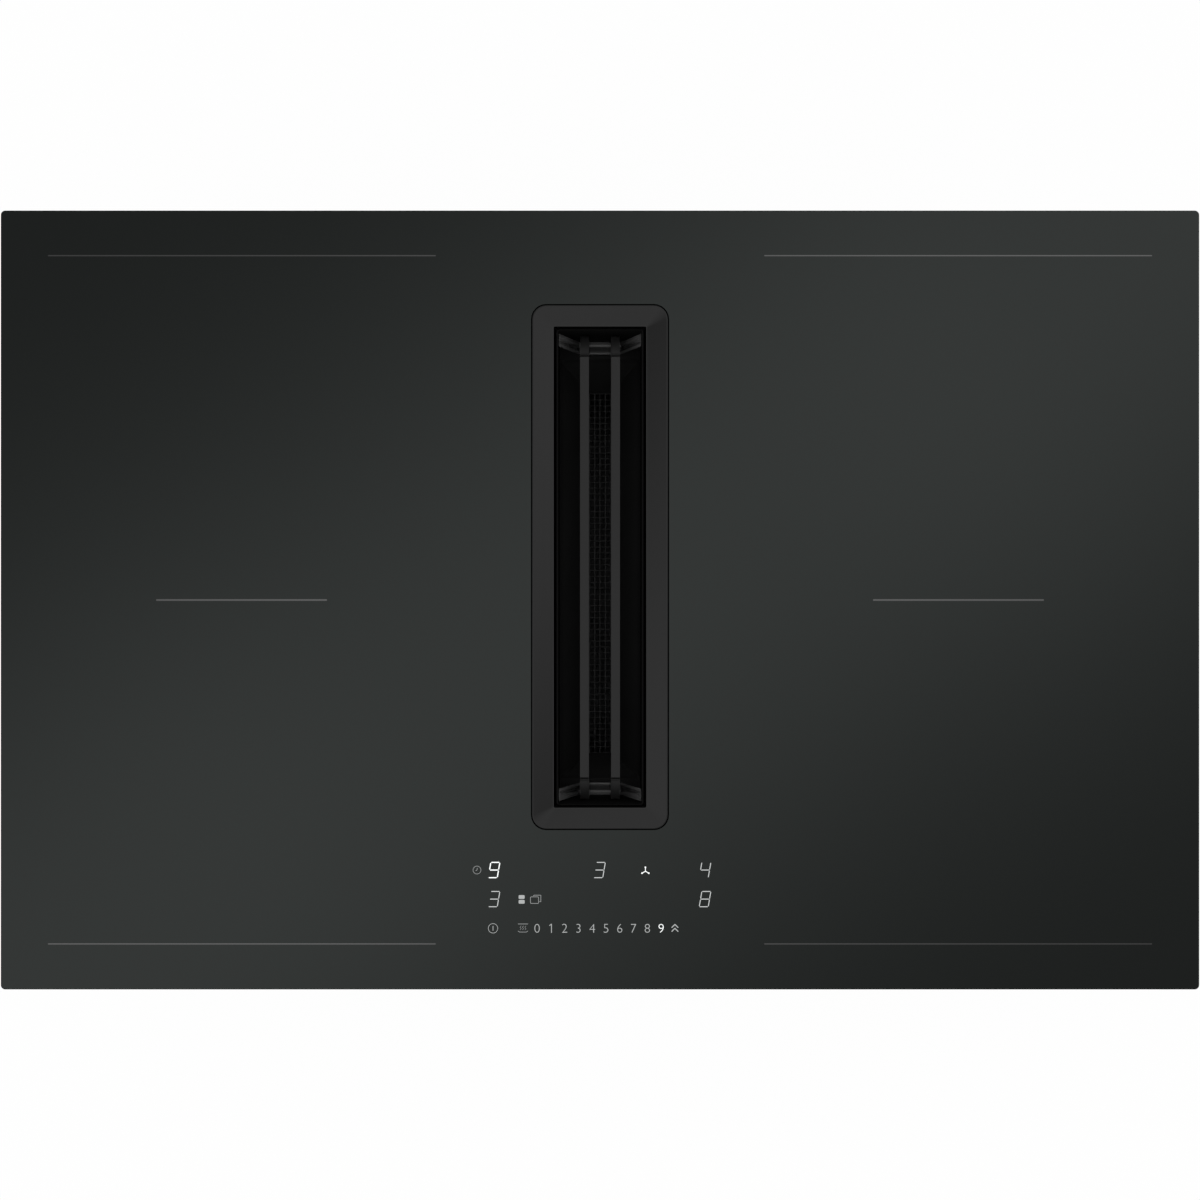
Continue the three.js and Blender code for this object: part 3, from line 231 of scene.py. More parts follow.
@dataclass(frozen=True)
class Finish:
    """A finish, with the slot of the record that it belongs to."""

    name: str
    slot: str

    def paint(self, shader: Shader) -> None:
        """Fills the shader."""
        raise NotImplementedError

    def material(self) -> bpy.types.Material:
        """Gives the finish's material, which is made at its first use."""
        title = f"finish_{self.name}"
        found = bpy.data.materials.get(title)
        if found is None:
            found = bpy.data.materials.new(title)
            found.use_nodes = True
            self.paint(Shader(found.node_tree))
        return found


@dataclass(frozen=True)
class BlackGlass(Finish):
    """Polished black glass ceramic, with a faint green in its gloss and barely seen wiping marks."""

    depth: float = 0.0012
    gloss_tint: Tint = (0.92, 1.0, 0.965, 1.0)
    roughness: float = 0.03
    wiping: float = 0.015

    def paint(self, shader: Shader) -> None:
        """Mixes two near blacks and varies the gloss in long streaks."""
        cloud = shader.noise(5.0, 3.0)
        streaks = shader.noise(9.0, 4.0, (1.0, 6.0, 1.0))
        deep = (self.depth * 0.7, self.depth * 0.9, self.depth * 0.85, 1.0)
        pale = (self.depth * 1.1, self.depth * 1.4, self.depth * 1.3, 1.0)
        shader.surface(
            {
                "Base Color": shader.mix(cloud, deep, pale),
                "Roughness": shader.span(streaks, self.roughness, self.roughness + self.wiping, 0.35, 0.7),
                "IOR": 1.5,
                "Specular Tint": self.gloss_tint,
            }
        )


@dataclass(frozen=True)
class Coating(Finish):
    """A satin coat on metal, with fine grain, soft patches in its gloss and a paler dust in its colour."""

    colour: float = 0.02
    roughness: float = 0.4
    grain: float = 2600.0
    depth: float = 0.00002
    spread: float = 0.06
    level: float = 0.5

    def paint(self, shader: Shader) -> None:
        """Mixes two levels of the colour, and bumps the surface with two sizes of grain."""
        grain = shader.noise(self.grain, 3.0)
        patches = shader.noise(22.0, 3.0)
        speckle = shader.noise(self.grain * 0.5, 2.0)
        relief = grain * 0.7 + speckle * 0.3
        share = shader.span(patches * 0.6 + speckle * 0.4, 0.0, 1.0, 0.3, 0.7)
        colour = shader.mix(share, grey(self.colour * 0.82), grey(self.colour * 1.18))
        roughness = shader.span(patches, self.roughness - self.spread, self.roughness + self.spread)
        colour, roughness = self._past(shader, colour, roughness)
        shader.surface(
            {
                "Base Color": colour,
                "Roughness": roughness,
                "Specular IOR Level": self.level,
                "Normal": shader.bump(relief, self.depth),
            }
        )

    def _past(self, shader: Shader, colour: Value, roughness: Value) -> tuple[Value, Value]:
        """Leaves the colour and the roughness as they are."""
        return colour, roughness


@dataclass(frozen=True)
class ZonedCoating(Coating):
    """A coat of another grey and gloss past a height: the other grey is painted shade where a piece stands
    upright or lies in a gap, and painted light where it is paler.
    """

    height: float = 0.0
    above: bool = True
    past_colour: float = 0.002
    past_roughness: float = 0.8
    blend: float = 0.0005

    def _past(self, shader: Shader, colour: Value, roughness: Value) -> tuple[Value, Value]:
        """Goes over to the other coat at the height, whose grey is painted shading."""
        way = 1.0 if self.above else -1.0
        share = shader.span((shader.axis("Z") - self.height) * way, 0.0, 1.0, 0.0, self.blend)
        # Past the height the grey is painted: darker as painted shade, paler as painted light.
        mixed = shader.mix(share, colour, grey(self.past_colour))
        return mixed, roughness + (self.past_roughness - roughness) * share


@dataclass(frozen=True)
class StrapCoating(Coating):
    """A coat with painted highlights: paler on a strap's two rims, where the outer rim's painted highlight
    widens towards the strap's ends.
    """

    middle: float = 0.0
    inner: float = 0.1
    outer: float = 0.1
    flat: float = 0.01
    widen: float = 0.25
    rim_colour: float = 0.05
    blend: float = 0.0003

    def _past(self, shader: Shader, colour: Value, roughness: Value) -> tuple[Value, Value]:
        """Goes over to the paler coat on the rims, a painted highlight."""
        along = abs(shader.axis("Y") - self.middle)
        rise = shader.span(abs(shader.axis("X")) - self.flat, 0.0, self.widen)
        near = shader.span(self.inner - along, 0.0, 1.0, 0.0, self.blend)
        far = shader.span(along + rise - self.outer, 0.0, 1.0, 0.0, self.blend)
        # The rims' paler grey is a painted highlight.
        return shader.mix(near + far, colour, grey(self.rim_colour)), roughness


@dataclass(frozen=True)
class Sheet(Finish):
    """Bare sheet metal with rolling lines, cloudy patches and small scratches."""

    colour: Tint = (0.55, 0.56, 0.57, 1.0)
    roughness: float = 0.34
    stretch: Point = (1.0, 40.0, 40.0)
    patch: float = 45.0
    depth: float = 0.00001

    def paint(self, shader: Shader) -> None:
        """Draws the rolling lines along the piece, and the patches across it."""
        lines = shader.noise(60.0, 4.0, self.stretch)
        patches = shader.patches(self.patch)
        scratches = shader.noise(900.0, 2.0, self.stretch)
        share = shader.span(lines * 0.6 + patches * 0.5, 0.0, 1.0, 0.25, 0.75)
        least, most = self.roughness - 0.08, self.roughness + 0.1
        shader.surface(
            {
                "Base Color": shader.mix(share, scaled(self.colour, 0.8), self.colour),
                "Metallic": 1.0,
                "Roughness": shader.span(patches * 0.5 + lines * 0.5, least, most),
                "Normal": shader.bump(scratches * 0.5 + lines * 0.5, self.depth),
            }
        )


@dataclass(frozen=True)
class Moulded(Finish):
    """Moulded plastic with a spark-eroded grain and soft flow patches."""

    colour: Tint = (0.022, 0.022, 0.024, 1.0)
    roughness: float = 0.5
    grain: float = 900.0
    depth: float = 0.00006

    def paint(self, shader: Shader) -> None:
        """Bumps the surface with the grain, and lets the patches change its colour and gloss."""
        grain = shader.cells(self.grain)
        patches = shader.noise(14.0, 3.0)
        fine = shader.noise(self.grain * 2.0, 2.0)
        pale = scaled(self.colour, 1.25, 0.002)
        shader.surface(
            {
                "Base Color": shader.mix(patches * 0.7 + fine * 0.3, self.colour, pale),
                "Roughness": shader.span(patches, self.roughness - 0.07, self.roughness + 0.07),
                "Normal": shader.bump(grain * 0.7 + fine * 0.3, self.depth),
            }
        )


@dataclass(frozen=True)
class Rubber(Finish):
    """Soft foam rubber with open pores."""

    colour: float = 0.012
    pores: float = 1600.0
    dust: float = 120.0
    depth: float = 0.0002

    def paint(self, shader: Shader) -> None:
        """Presses pores into a dull surface."""
        pores = shader.cells(self.pores)
        dust = shader.noise(self.dust, 4.0)
        shader.surface(
            {
                "Base Color": shader.mix(dust, grey(self.colour * 0.6), grey(self.colour * 1.6)),
                "Roughness": shader.span(dust, 0.75, 0.95),
                "Normal": shader.bump(pores, self.depth),
            }
        )


@dataclass(frozen=True)
class Winding(Finish):
    """Twisted copper wire wound in a flat spiral about the middle of each coil."""

    pitch: float = 0.0023
    middle_x: float = 0.239
    middle_y: float = 0.115
    strands: float = 260.0
    lay: float = 4000.0
    depth: float = 0.0006
    dark: Tint = (0.09, 0.022, 0.008, 1.0)
    bright: Tint = (0.62, 0.2, 0.075, 1.0)

    def paint(self, shader: Shader) -> None:
        """Bumps the face with rings about the nearest coil's middle, and twists the strands along them."""
        x, y = shader.several("ShaderNodeSeparateXYZ", "XY", {0: shader.place()})
        across, along = abs(x) - self.middle_x, abs(y) - self.middle_y
        radius = (across * across + along * along) ** 0.5
        angle = shader.math("ARCTAN2", along, across)
        turns = shader.math("SINE", radius * (2 * math.pi / self.pitch))
        twist = shader.math("SINE", angle * self.strands + radius * self.lay)
        groove = shader.span(turns, 0.0, 1.0, -1.0, 0.6)
        shader.surface(
            {
                "Base Color": shader.mix(groove, self.dark, self.bright),
                "Metallic": shader.span(groove, 0.2, 0.9),
                "Roughness": 0.35,
                "Normal": shader.bump(groove + twist * 0.15, self.depth),
            }
        )


@dataclass(frozen=True)
class Mica(Finish):
    """Pressed mica flakes, silvery and warm."""

    dark: Tint = (0.42, 0.36, 0.27, 1.0)
    bright: Tint = (0.62, 0.56, 0.45, 1.0)
    flakes: float = 160.0
    depth: float = 0.00003

    def paint(self, shader: Shader) -> None:
        """Scatters flakes of slightly different colour and gloss."""
        flake = shader.patches(self.flakes, (1.0, 1.6, 1.0))
        shader.surface(
            {
                "Base Color": shader.mix(flake, self.dark, self.bright),
                "Roughness": shader.span(flake, 0.3, 0.55),
                "Normal": shader.bump(flake, self.depth),
            }
        )


@dataclass(frozen=True)
class Board(Finish):
    """A lacquered circuit board with tracks, pads and small parts' feet."""

    lacquer: Tint = (0.012, 0.075, 0.035, 1.0)
    copper: Tint = (0.03, 0.16, 0.07, 1.0)
    pad: Tint = (0.6, 0.6, 0.58, 1.0)
    tracks: float = 90.0
    pads: float = 230.0
    depth: float = 0.0002

    def paint(self, shader: Shader) -> None:
        """Lays tracks under the lacquer with a brick pattern, and dots the pads over them."""
        sockets = {"Vector": shader.place(), "Scale": self.tracks, "Mortar Size": 0.06}
        sockets |= {"Brick Width": 0.9, "Row Height": 0.22}
        bricks = shader.add("ShaderNodeTexBrick", {"offset": 0.37}, sockets, "Fac")
        dots = shader.cells(self.pads)
        pads = shader.span(dots, 1.0, 0.0, 0.1, 0.14)
        tracks = shader.mix(bricks, self.lacquer, self.copper)
        shader.surface(
            {
                "Base Color": shader.mix(pads, tracks, self.pad),
                "Roughness": shader.span(pads, 0.3, 0.22),
                "Metallic": pads,
                "Normal": shader.bump(bricks * 0.4 + pads * 0.6, self.depth),
            }
        )


@dataclass(frozen=True)
class Print(Finish):
    """Fine metallic print, fired into the glass, which mirrors the light more than the glass does."""

    ior: float = 2.13
    roughness: float = 0.05

    def paint(self, shader: Shader) -> None:
        """Breaks the ink up with the dots of its screen."""
        dots = shader.cells(5000.0)
        shader.surface(
            {
                "Base Color": shader.mix(dots, grey(0.006), grey(0.003)),
                "Roughness": shader.span(dots, self.roughness, self.roughness + 0.04),
                "IOR": self.ior,
            }
        )


@dataclass(frozen=True)
class Lit(Finish):
    """A symbol lit from below through the glass."""

    level: float = 0.45

    def paint(self, shader: Shader) -> None:
        """Glows a little unevenly, as light through a diffuser does."""
        cloud = shader.noise(900.0, 2.0)
        full = (self.level * 0.97, self.level, self.level * 0.99, 1.0)
        shader.surface(
            {
                "Base Color": shader.mix(cloud, grey(0.004), grey(0.008)),
                "Roughness": 0.3,
                "Emission Color": shader.mix(cloud, scaled(full, 0.86), full),
                "Emission Strength": 1.0,
            }
        )


GLASS = BlackGlass("black_glass", "glass")
# Below the height the ring's grey turns darker: painted shade in the opening under the dished top.
RING_COAT = ZonedCoating(
    "ring_coat", "ring", colour=0.0015, roughness=0.16, grain=3200.0, depth=0.000001, spread=0.03, level=0.42,
    height=0.1955, above=False, past_colour=0.001,
)
# Below the bars' flat tops the grey turns paler: painted light on the sloped ends and legs.
GRILLE_COAT = ZonedCoating(
    "grille_coat", "grille", colour=0.004, roughness=0.34, grain=2400.0, depth=0.000004, level=0.42,
    height=0.1965, above=False, past_colour=0.017, past_roughness=0.4, blend=0.001,
)
# The saddles' rims are painted paler: painted highlights where the rims catch the light.
SADDLE_COAT = StrapCoating(
    "saddle_coat", "grille", colour=0.045, roughness=0.22, grain=2400.0, depth=0.000002, level=0.6,
    middle=0.022, inner=0.1515, outer=0.1561, flat=0.0142, rim_colour=0.08,
)
# Above the height the cassette's grey turns near black: painted shade on the upright walls of the deep well.
CASSETTE_COAT = ZonedCoating(
    "cassette_coat", "cassette", colour=0.02, roughness=0.5, grain=2400.0, depth=0.000004, level=0.06,
    height=0.150, past_colour=0.003, blend=0.02,
)
WIRE_COAT = Coating("wire_coat", "wire", colour=0.014, roughness=0.45, grain=4000.0, depth=0.000004)
FOAM = Rubber("foam_rubber", "seal")
ZINC_SHEET = Sheet("zinc_sheet", "casing_steel", colour=(0.5, 0.51, 0.52, 1.0), patch=140.0)
SPRING = Sheet("spring_steel", "spring_steel", colour=(0.42, 0.42, 0.43, 1.0), roughness=0.28, patch=120.0)
SCREW_STEEL = Sheet("screw_steel", "screw_steel", colour=(0.6, 0.6, 0.6, 1.0), roughness=0.25, patch=300.0)
MOTOR_COAT = Sheet("motor_coat", "motor_case", colour=(0.4, 0.41, 0.43, 1.0), roughness=0.4)
ALUMINIUM = Sheet("aluminium", "aluminium", colour=(0.7, 0.71, 0.72, 1.0), roughness=0.38)
BLACK_PLASTIC = Moulded("black_plastic", "black_plastic")
WHITE_PLASTIC = Moulded("white_plastic", "white_plastic", colour=(0.55, 0.55, 0.53, 1.0), roughness=0.45)
COPPER_COIL = Winding("copper_coil", "coil_winding")
MICA_SHEET = Mica("mica_flakes", "mica")
GREEN_BOARD = Board("green_board", "circuit_board")
ZONE_PRINT = Print("zone_print", "zone_print")
LIT_BRIGHT = Lit("lit_bright", "symbol_light", level=1.3)
LIT_GREY = Lit("lit_grey", "symbol_light", level=0.68)
LIT_SOFT = Lit("lit_soft", "symbol_light", level=0.47)
LIT_DIM = Lit("lit_dim", "symbol_light", level=0.3)


# ---------------------------------------------------------------- modelling by hand


class Part(Enum):
    """What an edit works on."""

    POINTS = "verts"
    EDGES = "edges"
    FACES = "faces"


@dataclass(frozen=True)
class Oblong:
    """A level rectangle with rounded corners, one section of a loft."""

    width: float
    depth: float
    z: float
    corner: float = 0.0004
    x: float = 0.0
    y: float = 0.0
    segments: int = 4
    least: float = 0.0

    def add(self) -> None:
        """Adds its outline to the mesh that is being edited."""
        bpy.ops.mesh.primitive_plane_add(size=1.0, location=(0.0, 0.0, 0.0))
        bpy.ops.transform.resize(value=(self.width, self.depth, 1.0))
        bpy.ops.transform.translate(value=(self.x, self.y, self.z))
        sizes = {"offset": self.corner, "segments": self.segments}
        bpy.ops.mesh.bevel(**sizes, offset_type="OFFSET", affect="VERTICES", clamp_overlap=False)

    def at(self, out: float, z: float) -> "Oblong":
        """Gives the outline at another height, with its sides moved out and its corners to match."""
        width, depth = self.width + 2 * out, self.depth + 2 * out
        return replace(self, width=width, depth=depth, z=z, corner=max(self.corner + out, self.least))

    def sections(self, profile: Iterable[Spot]) -> list["Oblong"]:
        """Gives one outline for each pair of a profile: how far out it lies, and its height."""
        return [self.at(out, z) for out, z in profile]


@dataclass(frozen=True)
class Round:
    """A level circle, one section of a loft."""

    radius: float
    z: float
    x: float = 0.0
    y: float = 0.0
    sides: int = 48

    def add(self) -> None:
        """Adds its outline to the mesh that is being edited."""
        bpy.ops.mesh.primitive_circle_add(
            vertices=self.sides, radius=self.radius, fill_type="NGON", location=(self.x, self.y, self.z)
        )


def deselect() -> None:
    """Leaves edit mode, with nothing selected."""
    if bpy.context.mode != "OBJECT":
        bpy.ops.object.mode_set(mode="OBJECT")
    for obj in bpy.context.view_layer.objects:
        obj.select_set(False)


class Model:
    """One piece, modelled in edit mode with the same operators as by hand."""

    def __init__(self, name: str, mesh: bpy.types.Mesh | None = None) -> None:
        """Starts an empty mesh, or goes on with a copy of one."""
        self.name = name
        self.marks = 0
        self.obj = bpy.data.objects.new(name, mesh.copy() if mesh else bpy.data.meshes.new(name))
        bpy.context.scene.collection.objects.link(self.obj)
        self.obj.data.name = name
        self._take()
        bpy.ops.object.mode_set(mode="EDIT")

    def _take(self) -> None:
        """Makes the piece the only one that is selected."""
        deselect()
        bpy.context.view_layer.objects.active = self.obj
        self.obj.select_set(True)

    def edit(self) -> "Model":
        """Opens the piece for edits."""
        self._take()
        bpy.ops.object.mode_set(mode="EDIT")
        return self

    def pick(self, part: Part, test: Test) -> int:
        """Selects by place.

        Args:
            part: Points, edges or faces.
            test: Gets the middle, and the normal of a point or face or the direction of an edge.

        Returns:
            How many were selected.
        """
        bpy.context.tool_settings.mesh_select_mode = tuple(part is each for each in Part)
        bpy.ops.mesh.select_all(action="DESELECT")
        mesh = bmesh.from_edit_mesh(self.obj.data)
        count = 0
        for item in getattr(mesh, part.value):
            if part is Part.POINTS:
                spot, way = item.co, item.normal
            elif part is Part.EDGES:
                first, second = (corner.co for corner in item.verts)
                spot, way = (first + second) / 2, (second - first).normalized()
            else:
                spot, way = item.calc_center_median(), item.normal
            if test(spot, way):
                item.select_set(True)
                count += 1
        bmesh.update_edit_mesh(self.obj.data)
        return count

    def _mark(self) -> int:
        """Gives the points that were added since the last mark a number of their own, and returns it."""
        mesh = bmesh.from_edit_mesh(self.obj.data)
        layer = mesh.verts.layers.int.get(MARK) or mesh.verts.layers.int.new(MARK)
        self.marks += 1
        for vertex in mesh.verts:
            if vertex[layer] == 0:
                vertex[layer] = self.marks
        return self.marks

    def _pick_marks(self, marks: Iterable[int]) -> None:
        """Selects the points with these marks."""
        bpy.context.tool_settings.mesh_select_mode = (True, False, False)
        bpy.ops.mesh.select_all(action="DESELECT")
        mesh = bmesh.from_edit_mesh(self.obj.data)
        layer = mesh.verts.layers.int[MARK]
        wanted = set(marks)
        for vertex in mesh.verts:
            if vertex[layer] in wanted:
                vertex.select_set(True)
        mesh.select_flush_mode()
        bmesh.update_edit_mesh(self.obj.data)

    def _turn_outwards(self, marks: Iterable[int]) -> None:
        """Turns the normals of the points with these marks outwards."""
        self._pick_marks(marks)
        bpy.ops.mesh.normals_make_consistent(inside=False)

    def loft(self, sections: Sequence[Oblong | Round], closed: bool = False) -> "Model":
        """Joins level outlines into a skin.

        Args:
            sections: The outlines, in order along the skin.
            closed: Whether the last joins the first, as in a tube's wall. Otherwise both ends get a face.

        Returns:
            The model.
        """
        self._mark()
        marks = []
        for step, section in enumerate(sections):
            bpy.ops.mesh.select_all(action="DESELECT")
            section.add()
            bpy.ops.transform.translate(value=(0.0, 0.0, step * STAGE))
            marks.append(self._mark())
        self._pick_marks(marks)
        bpy.ops.mesh.delete(type="ONLY_FACE")
        pairs = list(zip(marks, marks[1:]))
        if closed:
            pairs.append((marks[-1], marks[0]))
        for pair in pairs:
            self._pick_marks(pair)
            bpy.ops.mesh.bridge_edge_loops()
        if not closed:
            for mark in (marks[0], marks[-1]):
                self._pick_marks([mark])
                bpy.ops.mesh.edge_face_add()
        for step, mark in enumerate(marks):
            self._pick_marks([mark])
            bpy.ops.transform.translate(value=(0.0, 0.0, -step * STAGE))
        self._turn_outwards(marks)
        return self

    def trace(self, points: Sequence[Point], thickness: Point) -> "Model":
        """Draws a closed outline point by point, fills it and extrudes it.

        Args:
            points: The corners of the outline.
            thickness: How far and which way it is extruded.

        Returns:
            The model.
        """
        corners = [Vector(point) for point in points]
        bpy.context.tool_settings.mesh_select_mode = (True, False, False)
        bpy.ops.mesh.select_all(action="DESELECT")
        bpy.ops.mesh.primitive_plane_add(size=MERGE, location=corners[0])
        bpy.ops.mesh.merge(type="CENTER")
        for before, after in zip(corners, corners[1:]):
            bpy.ops.mesh.extrude_vertices_move(TRANSFORM_OT_translate={"value": after - before})
        mark = self._mark()
        self._pick_marks([mark])
        bpy.ops.mesh.edge_face_add()
        self.extrude(thickness)
        self._turn_outwards([mark])
        return self

    def sweep(self, path: Sequence[Point], radius: float, turn: Point, sides: int = 6) -> "Model":
        """Draws a wire along a path.

        Args:
            path: The points of its middle line.
            radius: Its radius.
            turn: How the round end is turned from level, in degrees.
            sides: The number of its sides.

        Returns:
            The model.
        """
        points = [Vector(point) for point in path]
        angles = tuple(math.radians(angle) for angle in turn)
        bpy.ops.mesh.select_all(action="DESELECT")
        bpy.ops.mesh.primitive_circle_add(
            vertices=sides, radius=radius, fill_type="NGON", location=points[0], rotation=angles
        )
        for before, after in zip(points, points[1:]):
            self.extrude(after - before)
        self._turn_outwards([self._mark()])
        return self

    def block(self, low: Sequence[float], high: Sequence[float]) -> "Model":
        """Adds a block between two corners, to be shaped further."""
        bpy.ops.mesh.select_all(action="DESELECT")
        bpy.ops.mesh.primitive_cube_add(size=1.0, location=(0.0, 0.0, 0.0))
        bpy.ops.transform.resize(value=tuple(b - a for a, b in zip(low, high)))
        bpy.ops.transform.translate(value=tuple((a + b) / 2 for a, b in zip(low, high)))
        return self

    def extrude(self, way: Sequence[float]) -> "Model":
        """Extrudes what is selected."""
        bpy.ops.mesh.extrude_region_move(TRANSFORM_OT_translate={"value": tuple(way)})
        return self

    def inset(self, thickness: float, depth: float = 0.0) -> "Model":
        """Insets the selected faces, and raises or sinks them."""
        bpy.ops.mesh.inset(thickness=thickness, depth=depth)
        return self

    def round_edges(self, width: float, segments: int = 2, angle: float = 35.0) -> "Model":
        """Rounds every edge that is sharper than an angle, with a modifier that is applied."""
        self._take()
        modifier = self.obj.modifiers.new("rounded", "BEVEL")
        modifier.width = width
        modifier.segments = segments
        modifier.limit_method = "ANGLE"
        modifier.angle_limit = math.radians(angle)
        modifier.harden_normals = False
        bpy.ops.object.modifier_apply(modifier=modifier.name)
        return self

    def smooth(self, angle: float = 40.0) -> "Model":
        """Shades the piece smooth across edges that are flatter than an angle."""
        self._take()
        bpy.ops.object.shade_smooth_by_angle(angle=math.radians(angle))
        modifier = self.obj.modifiers.new("weighted", "WEIGHTED_NORMAL")
        modifier.weight = 100
        modifier.keep_sharp = True
        bpy.ops.object.modifier_apply(modifier=modifier.name)
        return self

    def put(
        self, shift: Sequence[float] = (0, 0, 0), turn: Point = (0, 0, 0), scale: Point = (1, 1, 1)
    ) -> "Model":
        """Scales, turns and moves the piece about the origin, and applies it to the mesh."""
        self._take()
        self.obj.location = shift
        self.obj.rotation_euler = tuple(math.radians(angle) for angle in turn)
        self.obj.scale = scale
        bpy.ops.object.transform_apply(location=True, rotation=True, scale=True)
        if scale[0] * scale[1] * scale[2] < 0:
            self._face_outwards()
        return self

    def _face_outwards(self) -> None:
        """Recalculates the normals of a closed piece, and flips them where its volume comes out negative."""
        self.edit()
        bpy.ops.mesh.select_all(action="SELECT")
        bpy.ops.mesh.normals_make_consistent(inside=False)
        if bmesh.from_edit_mesh(self.obj.data).calc_volume(signed=True) < 0:
            bpy.ops.mesh.flip_normals()
        self._take()

    def copy(self, name: str) -> "Model":
        """Gives a copy with its own mesh."""
        self._take()
        twin = Model(name, self.obj.data)
        twin._take()
        return twin

    def merge(self) -> "Model":
        """Closes the mesh where points lie in the same place."""
        self.edit()
        bpy.ops.mesh.select_all(action="SELECT")
        bpy.ops.mesh.remove_doubles(threshold=MERGE)
        self._take()
        return self

    def join(self, others: Iterable["Model"]) -> "Model":
        """Takes other models into this one."""
        self._take()
        for other in others:
            other.obj.select_set(True)
        bpy.context.view_layer.objects.active = self.obj
        bpy.ops.object.join()
        return self

    def dress(self, finish: Finish, body: str, *replaced: str) -> None:
        """Finishes the piece.

        Args:
            finish: Its finish.
            body: The body that it moves with.
            replaced: The nodes of the frame that it stands for.
        """
        self._take()
        mark = self.obj.data.attributes.get(MARK)
        if mark is not None:
            self.obj.data.attributes.remove(mark)
        self.obj.data.materials.clear()
        self.obj.data.materials.append(finish.material())
        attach(self.obj, body)
        if replaced:
            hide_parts(*replaced)
        LOG.info("%s: %d faces, rides on %s", self.name, len(self.obj.data.polygons), body)


def lettering(name: str, text: str, height: float, thickness: float, thinner: float) -> Model:
    """Makes a plain figure or symbol of the built-in face, lying flat with its middle at the origin.

    Args:
        name: The piece's name.
        text: What it shows.
        height: Its height.
        thickness: How thick it is.
        thinner: How much its strokes are pulled in on each side.

    Returns:
        The model.
    """
    deselect()
    bpy.ops.object.text_add(location=(0.0, 0.0, 0.0))
    obj = bpy.context.active_object
    obj.data.body = text
    obj.data.align_x = "CENTER"
    obj.data.resolution_u = 5
    bpy.context.view_layer.update()
    obj.data.size = (height + 2 * thinner) / obj.dimensions.y
    obj.data.extrude = thickness / 2
    obj.data.offset = -thinner
    bpy.ops.object.convert(target="MESH")
    made = bpy.context.active_object
    model = Model(name, made.data)
    bpy.data.objects.remove(made)
    model.merge()
    spots = [vertex.co for vertex in model.obj.data.vertices]
    low = Vector(min(spot[axis] for spot in spots) for axis in range(3))
    high = Vector(max(spot[axis] for spot in spots) for axis in range(3))
    return model.put(-(low + high) / 2)


def node_copy(node: str, name: str) -> Model:
    """Makes a merged copy of a node of the frame, open for edits.

    Args:
        node: The node's name.
        name: The copy's name.

    Returns:
        The model.
    """
    model = Model(name, bpy.data.objects[node].data)
    bpy.ops.mesh.customdata_custom_splitnormals_clear()
    bpy.ops.mesh.select_all(action="SELECT")
    bpy.ops.mesh.remove_doubles(threshold=MERGE * 10)
    bpy.ops.mesh.dissolve_limited(angle_limit=math.radians(0.5))
    return model


@dataclass(frozen=True)
class Box:
    """The box of a node of the frame."""

    low: Vector
    high: Vector

    @classmethod
    def of(cls, node: str) -> "Box":
        """Reads a node's box from the frame."""
        return cls(*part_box(node))

    @property
    def middle(self) -> Vector:
        """The box's middle."""
        return (self.low + self.high) / 2

    @property
    def size(self) -> Vector:
        """The box's size."""
        return self.high - self.low


# ---------------------------------------------------------------- studio


